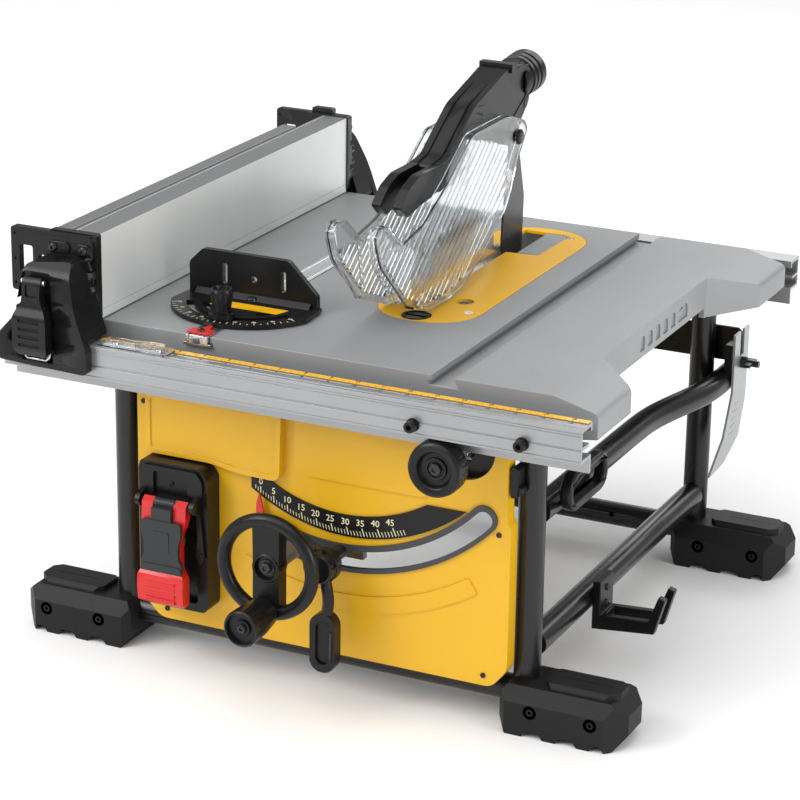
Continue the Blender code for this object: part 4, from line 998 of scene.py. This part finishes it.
def fence_head(mirror, node):
    slab = slabs(mirror)
    head = tower(mirror, f"{node}_skin")
    plate = fillet([(-290, 20), (-262, 20), (-262, 57), (-205, 57), (-205, 80.5), (-290, 80.5)], 3.5)
    window = fillet([(-281.5, 38), (-267, 38), (-267, 64), (-281.5, 64)], 2.5)
    holes = [window] + [ring((-286, z), 1.3, 12) for z in (27, 50, 74)]
    join(head, slab(plate, -12.6, -5, holes))
    near = -6 if mirror else -9
    far = DEPTH - 495.3 if mirror else -1.3
    join(head, slab(fillet([(-250, 3), (-201, 3), (-201, 81.8), (-250, 81.8)], 2), near, far))
    join(head, slab(rounded((-250, 61.5), (-227, 72.5), 5.4), -14.6, -12))
    join(head, slab(rounded((-222, 61.5), (-204.5, 72.5), 5.4), -14.6, -5))
    for z in (14, 27, 40):
        rib = [(-219, z), (-203, z), (-201.5, z + 3), (-203, z + 8), (-219, z + 6)]
        join(head, slab(fillet(rib, 1), -15, -6))
    if mirror:
        notches = [slab(rounded((-204, z), (-200, z + 7), 1), -10, -2.6) for z in (22, 48)]
        join(head, slab(rounded((-246, 78), (-222, 87), 2), -10, -2))
        cut(head, *notches)
    pocket = [(-262, -32), (-224.5, -32), (-224.5, 20), (-229, 51), (-257, 51), (-262, 20)]
    cut(head, slab(fillet(pocket, 3), -52, -43))
    sharp_skin(head, node)
    face, out = (DEPTH + 14.6, 1) if mirror else (-14.6, -1)
    for i, x in enumerate((-243.5, -212)):
        cap_screw((x, face, 67), (0, out, 0), 4.2, f"{node}_screw_{i}", "rip_fence")
    y = DEPTH + 47 if mirror else -47
    bail = [(-256, y - out * 4, -14), (-256, y, -27), (-253, y, -30.5), (-233, y, -30.5),
            (-230, y, -27), (-230, y - out * 4, -14)]
    piece(tube(bail, 1.7, f"{node}_bail"), "steel", "rip_fence", edge=0)


def latch_lever(mirror, node):
    """A narrow neck on the hinge pin, then a broad grip with finger ribs."""
    y, z = LATCH
    side = [(y + 4, z + 4), (y - 2, z + 5), (y - 5, z), (y - 6.5, z - 22), (y - 11, z - 32),
            (y - 11, z - 60), (y - 6, z - 69), (y - 1, z - 69), (y + 4, z - 60)]
    middle = sum(LATCH_X) / 2
    front = twinned([(middle - 10, z + 6), (middle - 9, z - 16), (middle - 17.6, z - 31),
                     (middle - 17.6, z - 62), (middle - 13, z - 70)], middle)
    low, high = (DEPTH + 40, DEPTH + 64) if mirror else (-64, -40)
    lever = prism(behind(fillet(side, 3)) if mirror else fillet(side, 3), "x", *LATCH_X, f"{node}_skin")
    trim(lever, prism(fillet(front, 5, 5), "y", low, high))
    lever = eased(baked(lever), 1.6, 3, 40)
    face = DEPTH + 60.5 if mirror else -60.5
    for i in range(4):
        height = z - 35 - 7.4 * i
        cut(lever, tube([(middle - 11, face, height), (middle + 11, face, height)], 1.5, resolution=3))
    window = rounded((middle - 6, z - 13), (middle + 6, z - 2), 1.5)
    low, high = (DEPTH + 53.5, DEPTH + 60) if mirror else (-60, -53.5)
    cut(lever, prism(window, "y", low, high))
    skin(lever, node, edge=0.5)
    y = DEPTH - y if mirror else y
    pin = rod((middle - 12, y, z), (middle + 12, y, z), 2.4, f"{node}_pin")
    piece(pin, "steel", BODY[node], edge=0.3)


def fence():
    fence_bars()
    for mirror, end in ((False, "front"), (True, "rear")):
        fence_head(mirror, f"fence_{end}_head")
        latch_lever(mirror, f"{end}_latch_lever")


# ---- mitre gauge

GAUGE_X = -101.8
GAUGE_PIVOT = 100.0
GAUGE_CLAMP = 43.0


def gauge_bar():
    x = GAUGE_X
    grooves = [box((x + dx - 0.7, -5, 0.4), (x + dx + 0.7, 287, 1.2)) for dx in (-8, 8)]
    mouth = box((x - 4.2, -5, -7), (x + 4.2, 3, -2.2))
    refined("mitre_bar", *grooves, mouth, edge=0.35)


def gauge_head():
    x, y = GAUGE_X, GAUGE_PIVOT
    disc = arc((x, y), 75, 200, 340, 64) + [(x + 68, y + 10), (x - 68, y + 10)]
    radius = y - GAUGE_CLAMP
    slot = band((x, y), radius - 3.6, radius + 3.6, -64, 64)
    short = [band((x, y), 40, 46, start, end, 12) for start, end in ((-58, -26), (34, 58))]
    head = prism(disc, "z", 1.4, 5, "mitre_head_skin", (slot, ring((x, y), 3.8, 24), *short))
    wall = [(x - 68, 1.6), (x + 66, 1.6), (x + 66, 17), (x + 36, 47), (x - 54, 47), (x - 68, 33)]
    windows = [rounded((x + dx - 2.6, 16), (x + dx + 2.6, 36), 2.5) for dx in (-30.4, 31)]
    windows.append(ring((x + 0.4, 24), 3.1, 20))
    join(head, prism(fillet(wall, 2.5), "y", y + 4, y + 10, holes=windows))
    join(head, prism(fillet([(y + 4.2, 4.8), (y - 2, 4.8), (y + 4.2, 10)], 1), "x", x - 60, x + 60))
    skin(head, "mitre_head", edge=0.5, segments=3)
    marks, items = [], []
    for i in range(-12, 13):
        turn = radians(5 * i)
        long = 4.4 if i % 2 == 0 else 2.6
        middle = 73.6 - long / 2
        place = at(x + middle * sin(turn), y - middle * cos(turn), 5.05)
        marks.append((place, Matrix.Rotation(turn, 4, "Z"), (0.5, long, 0.2)))
    piece(bars("gauge_marks", marks), "print_pale", "mitre_protractor", edge=0)
    for value in range(-60, 61, 15):
        turn = radians(value)
        items.append((str(abs(value)), (x + 66.6 * sin(turn), y - 66.6 * cos(turn), 5.05)))
    figures(items, 4.4, Matrix.Identity(4), "print_pale", "mitre_protractor", "gauge_figures")
    plaque = fillet([(x - 30, y - 27), (x + 40, y - 27), (x + 45, y - 12), (x - 25, y - 12)], 1)
    plaque = prism(plaque, "z", 4.9, 5.25, "gauge_plaque")
    piece(plaque, "yellow_paint", "mitre_protractor", edge=0.15)
    cap_screw((x, y, 5), (0, 0, 1), 5.2, "gauge_pivot_screw", "mitre_gauge")


def gauge_clamp():
    x, y = GAUGE_X, GAUGE_CLAMP
    steps = [(0, 12.3), (4.6, 12.3), (5.2, 8.6), (10, 8.7), (15, 9.8), (24.6, 10.7), (27.2, 9.6),
             (27.4, 8.4), (24.6, 7.6)]
    knob = lathe((x, y, 5.4), (x, y, 33), steps, "mitre_clamp_skin", 64)
    flutes(knob, "z", (x, y), 12.6, 8, 12, 30.5, 3.1, 20)
    cut(knob, rod((x, y, 4), (x, y, 21), 3.3))
    skin(knob, "mitre_clamp_knob", edge=0.4)


def gauge():
    gauge_bar()
    gauge_head()
    gauge_clamp()
    x = GAUGE_X
    outline = fillet([(x - 13, 1), (x + 11, 1), (x + 11, 11), (x + 4, 13), (x + 1.5, 24), (x - 1.5, 24),
                      (x - 4, 13), (x - 13, 11)], 1.2)
    skin(prism(outline, "z", 1.3, 2.6, "mitre_pointer_skin"), "mitre_pointer", edge=0.25)
    cap_screw((x - 1, 6.5, 2.6), (0, 0, 1), 3.0, "mitre_pointer_screw", "mitre_gauge")


# ---- blade guard

SHELL = [(245, 150), (191, 116), (140, 90), (95, 82), (64, 108), (46, 109), (38, 100), (50, 72), (104, 22),
         (150, 5), (200, 3), (233, 8), (265, 24), (322, 56), (336, 72), (349, 98), (374, 128), (366, 138),
         (329, 150)]
GUARD = (353.0, 124.0)
GUARD_SIDES = (16.5, 24.5)
SPINE_HALF = 15.0


def rib_comb(low, high, near, far):
    """Slanting bars across the whole side, later trimmed to the guard's outline."""
    slope = Vector((0.79, 0.61))
    across = Vector((-slope.y, slope.x))
    turn = Matrix.Rotation(atan2(slope.y, slope.x), 4, "X")
    items = []
    for i in range(low, high):
        middle = Vector((200, 78)) + across * 8.6 * i
        place = at((near + far) / 2, middle.x, middle.y)
        items.append((place, turn, (abs(far - near), 420, 3.0 if i % 3 else 4.8)))
    return bars("ribs", items)


def guard_shell(side, node):
    outline = fillet(SHELL, 7)
    near, far = (BLADE_X + side * out for out in GUARD_SIDES)
    shell = prism(outline, "x", near, far, f"{node}_skin")
    cut(shell, prism(inset(outline, 2.2), "x", near - side, far - side * 2.0))
    y, z = GUARD
    cut(shell, rod((BLADE_X - 40, y, z), (BLADE_X + 40, y, z), 5.4))
    skin(shell, node)
    comb = rib_comb(-9, 10, near + side * 3.2, far - side * 2.2)
    comb.name = f"{BODY[node]}_ribs"
    window = [(236, 138), (196, 112), (143, 86), (98, 77), (70, 84), (58, 74), (106, 27), (152, 10),
              (200, 8), (231, 12), (262, 29), (316, 60), (330, 76), (334, 112), (300, 132), (262, 142)]
    trim(comb, prism(inset(fillet(window, 4), 1), "x", near, far + side))
    piece(baked(comb), "clear_plastic", BODY[node], edge=0.25, segments=1)
    lip = prism(outline, "x", far - side * 0.2, far + side * 0.9, f"{BODY[node]}_lip",
                (inset(outline, 3.2),))
    piece(lip, "clear_plastic", BODY[node], edge=0.3)
    nose = [(44, 104), (62, 104), (92, 79), (102, 28), (92, 28), (52, 72)]
    nose = fillet(nose, 4)
    bead = prism(nose, "x", near + side, near + side * 3.4, f"{BODY[node]}_nose", (inset(nose, 3),))
    piece(bead, "clear_plastic", BODY[node])


def guard_spine():
    outline = [(400, 150), (374, 128), (366, 112), (336, 118), (300, 145), (256, 146), (238, 112),
               (190, 104), (190, 131), (213, 134), (269, 170), (345, 191), (354, 190), (398, 186)]
    sides = (BLADE_X - SPINE_HALF, BLADE_X + SPINE_HALF)
    spine = prism(fillet(outline, 5), "x", *sides, "guard_spine_skin")
    spine = eased(baked(spine), 2.4, 3, 60)
    prong = [(200, 107), (150, 103), (124, 98), (110, 110), (128, 124), (150, 131), (200, 131)]
    for side in (-1, 1):
        finger = prism(fillet(prong, 4), "x", BLADE_X + side * 6, BLADE_X + side * SPINE_HALF)
        join(spine, eased(baked(finger), 1.8, 3, 50))
    port = [(0, 18), (6, 20), (13, 20), (13.8, 21.4), (18, 21.4), (18.8, 19.8), (21, 19.8), (21.8, 21.5),
            (27, 21.5), (27.8, 19.9), (30, 19.9), (30.8, 21.8), (40.2, 21.8), (41, 21)]
    join(spine, lathe((BLADE_X, 386, 169), (BLADE_X, 427, 172), port, sides=64))
    join(spine, box((BLADE_X - 17.4, 350, 186), (BLADE_X + 17.4, 359.6, 194.6)))
    join(spine, rod((BLADE_X - 15.5, 391, 148), (BLADE_X + 15.5, 391, 148), 4))
    for x in (BLADE_X - 8, BLADE_X + 7):
        line = [(352, 188), (269, 169), (213, 133.2), (192, 131.4), (192, 132.5), (213, 135.5),
                (269, 171.5), (352, 192)]
        join(spine, prism(line, "x", x, x + 1))
    y, z = GUARD
    panel = fillet([(296, 152), (340, 128), (392, 156), (392, 180), (352, 184), (282, 164)], 4)
    for side in (-1, 1):
        cut(spine, prism(panel, "x", BLADE_X + side * 14.3, BLADE_X + side * 16))
    cut(spine, lathe((BLADE_X, 403, 171), (BLADE_X, 429, 173.2), [(0, 16.5), (26, 18.4)]))
    cut(spine, box((BLADE_X - 1.5, 364, 90), (BLADE_X + 1.5, 420, 148)))
    cut(spine, rod((BLADE_X - 20, y, z), (BLADE_X + 20, y, z), 5.4))
    skin(spine, "guard_spine")


def guard():
    guard_spine()
    guard_shell(1, "right_guard_shell")
    guard_shell(-1, "left_guard_shell")
    y, z = GUARD
    steps = [(0, 6), (1, 7.5), (3, 7.5), (3.1, 5), (52.9, 5), (53, 7.5), (55, 7.5), (56, 6)]
    pin = lathe((BLADE_X - 28, y, z), (BLADE_X + 28, y, z), steps, "guard_pin_skin")
    skin(pin, "guard_pivot_pin", edge=0.2)
    refined("riving_knife", edge=0.25)
    y, z = 407.0, -73.0
    steps = [(0, 7), (4, 7), (4.2, 11.6), (12.6, 12), (13.5, 10.8)]
    knob = lathe((BLADE_X + 1.5, y, z), (BLADE_X + 15, y, z), steps, "knife_knob_skin")
    flutes(knob, "x", (y, z), 13.6, 6, BLADE_X + 4.1, BLADE_X + 16, 3.2, 20)
    skin(knob, "knife_lock_knob", edge=0.3)


# ---- blade and its drive

HUB = (273.0, -40.0)
TEETH = 24


def saw_blade():
    """Carbide tips, expansion slots and the ground ring round the flanges."""
    cutters = []
    for i in range(4):
        turn = pi / 4 + pi * i / 2
        start, end = spot(HUB, 84, turn), spot(HUB, 98, turn + 0.05)
        cutters.append(tube([(BLADE_X - 3, *start), (BLADE_X + 3, *start)], 1.6, resolution=3))
        across = Vector((end[0] - start[0], end[1] - start[1])).normalized() * 0.5
        slit = [(start[0] - across.y, start[1] + across.x), (start[0] + across.y, start[1] - across.x),
                (end[0] + across.y, end[1] - across.x), (end[0] - across.y, end[1] + across.x)]
        cutters.append(prism(slit, "x", BLADE_X - 2, BLADE_X + 2))
    refined("saw_blade", *cutters, edge=0)
    tips = []
    for i in range(TEETH):
        turn = 2 * pi * i / TEETH + 0.222
        place = at(BLADE_X, *spot(HUB, 102.4, turn))
        tips.append((place, Matrix.Rotation(turn, 4, "X"), (2.3, 5.0, 1.8)))
    piece(bars("carbide_tips", tips), "grey_steel", "blade", edge=0.15)
    for side in (-1, 1):
        mark = prism(ring(HUB, 71, 72), "x", BLADE_X + side * 0.85, BLADE_X + side,
                     f"blade_ring_{side + 1}", (ring(HUB, 69.6, 72),))
        piece(mark, "grey_steel", "blade", edge=0)


def motor():
    y, z = HUB[0] - 20, -105.0
    steps = [(0, 36), (2, 38), (6, 41), (30, 41), (31, 40), (34, 40), (35, 41), (98, 41), (103, 39.6),
             (108, 36), (120, 36), (123, 34), (123.6, 31)]
    shell = lathe((BLADE_X - 26.4, y, z), (BLADE_X - 150, y, z), steps, "motor_skin", 96)
    for i in range(20):
        rib = spot((y, z), 41.5, 2 * pi * i / 20)
        cut(shell, tube([(BLADE_X - 72, *rib), (BLADE_X - 118, *rib)], 1.7, resolution=2))
    for radius, count in ((12, 8), (20, 12), (28, 16)):
        flutes(shell, "x", (y, z), radius, count, BLADE_X - 146, BLADE_X - 152, 2.2)
    skin(shell, "motor_housing", edge=0.3)


def drive():
    saw_blade()
    motor()
    refined("gear_case", edge=1.2, segments=3)
    refined("tilt_bracket", edge=1.2, segments=3)
    refined("blade_shroud", edge=0.6)
    for i, (y, z) in enumerate(((246, -80), (234, -130), (272, -128))):
        cap_screw((BLADE_X - 8.2, y, z), (1, 0, 0), 2.2, f"gear_case_screw_{i}", "blade_carriage", "steel")
    for i, (x, z) in enumerate(((-120, -95), (-120, -140), (-50, -190), (30, -95))):
        cap_screw((x, 40, z), (0, -1, 0), 4.4, f"bracket_screw_{i}", "bevel_carriage")


# ---- storage on the frame

LOOP_Y = 122


def storage():
    right = LEG_X + TUBE
    x = right + 1.5
    outer = rounded((LOOP_Y - 46, FLOOR + 193), (LOOP_Y + 46, FLOOR + 231), 18.6, 12)
    inner = rounded((LOOP_Y - 38, FLOOR + 201), (LOOP_Y + 38, FLOOR + 223), 10.6, 12)
    loop = prism(outer, "x", x, x + 12, "cord_wrap_skin", (inner,))
    soften(loop, 3.2, 4)
    loop.modifiers["edges"].use_clamp_overlap = False
    skin(loop, "cord_wrap_loop", edge=0)
    refined("storage_hook", edge=1.2, segments=3)
    for i, z in enumerate((66, 82)):
        cap_screw((right + 8.2, 189, FLOOR + z), (1, 0, 0), 3.4, f"hook_screw_{i}")
    refined("storage_clip", edge=1.4, segments=3)
    skin(copy_of("storage_wing_bolt", "wing_bolt_skin"), "storage_wing_bolt", edge=0.6, segments=3)
    holes = []
    for row in range(5):
        for column in range(3):
            spot = (476 + 5 * column - 3 * row, FLOOR + 176 - 7 * row)
            holes.append(rod((244, *spot), (248, *spot), 0.9, sides=10))
    refined("stored_riving_knife", *holes, edge=0.25)
    refined("rear_cross_plate", edge=0.4)
    for i, x in enumerate((-LEG_X, LEG_X)):
        cap_screw((x, 504, FLOOR + 231), (0, 1, 0), 5.0, f"rear_plate_screw_{i}")


# ---- the rest


def remaining():
    """Every CAD node without a piece of its own gets rounded edges."""
    for node in sorted(NODES):
        if node not in REPLACED:
            refined(node)


# ---- stage


def staged(data, name):
    obj = bpy.data.objects.new(name, data)
    bpy.context.scene.collection.objects.link(obj)
    return obj


def light(name, kind, power, direction):
    data = bpy.data.lights.new(name, kind)
    data.energy = power
    obj = staged(data, name)
    obj.rotation_euler = direction.to_track_quat("Z", "Y").to_euler()
    return obj


def lamp(name, place, height, size, power):
    """A soft box aimed at the given height on the middle of the saw."""
    obj = light(name, "AREA", power, Vector(place) - Vector((0, 0, height)))
    obj.location = place
    obj.data.shape = "RECTANGLE"
    obj.data.size, obj.data.size_y = size


def studio():
    bpy.ops.mesh.primitive_plane_add(size=14)
    floor = bpy.context.object
    floor.name = "floor"
    paint, _, shader = surface("floor_white")
    set_inputs(shader, {"Base Color": (0.93, 0.93, 0.93, 1), "Roughness": 0.75})
    floor.data.materials.append(paint)
    scene = bpy.context.scene
    scene.world = bpy.data.worlds.new("studio")
    scene.world.use_nodes = True
    background = scene.world.node_tree.nodes["Background"]
    set_inputs(background, {"Color": (1, 1, 1, 1), "Strength": 0.45})
    light("sky", "SUN", 1.9, Vector((-0.25, -0.45, 1.0))).data.angle = radians(75)
    lamp("key", (-1.5, -1.9, 1.7), 0.22, (1.0, 1.4), 26)
    lamp("side", (2.6, -0.5, 0.9), 0.25, (1.6, 1.2), 30)
    lamp("back", (0.2, 2.4, 1.5), 0.3, (2.0, 0.8), 16)
    scene.view_settings.view_transform = "Standard"


def camera():
    """A long lens from the right of the front, with the roll that the photograph has."""
    data = bpy.data.cameras.new("camera")
    data.lens = 127.58
    data.sensor_width = 36
    data.shift_x = -0.01515
    data.shift_y = 0.00789
    data.clip_start = 0.1
    data.clip_end = 60
    obj = staged(data, "camera")
    right = Vector((0.90324, 0.42887, 0.01489))
    up = Vector((-0.15677, 0.29746, 0.94177))
    turn = Matrix((right, up, right.cross(up))).transposed().to_4x4()
    obj.matrix_world = Matrix.Translation(at(1097.9, -2107.6, 797.9)) @ turn
    bpy.context.scene.camera = obj


def bake_pieces():
    """Applies every modifier, then drops the shapes that only cut or joined."""
    bpy.context.view_layer.update()
    graph = bpy.context.evaluated_depsgraph_get()
    made = []
    for obj in bpy.context.scene.objects:
        if obj.type == "MESH" and obj.modifiers:
            mesh = bpy.data.meshes.new_from_object(obj.evaluated_get(graph))
            if "normals" not in obj.modifiers:
                mesh.shade_smooth()
                mesh.set_sharp_from_angle(angle=radians(30))
            made.append((obj, mesh))
    for obj, mesh in made:
        old = obj.data
        obj.modifiers.clear()
        obj.data = mesh
        bpy.data.meshes.remove(old)
    for guide in list(WORK.objects):
        bpy.data.objects.remove(guide, do_unlink=True)
    bpy.data.collections.remove(WORK)


def main():
    for make in (table, throat, stand, front_panel, arc_trim, bevel_scale, switch_housing, switch_flap,
                 handwheel, crank_knob, lock_lever, rails, fence, gauge, guard, drive, storage, remaining,
                 bake_pieces, studio, camera):
        make()


main()
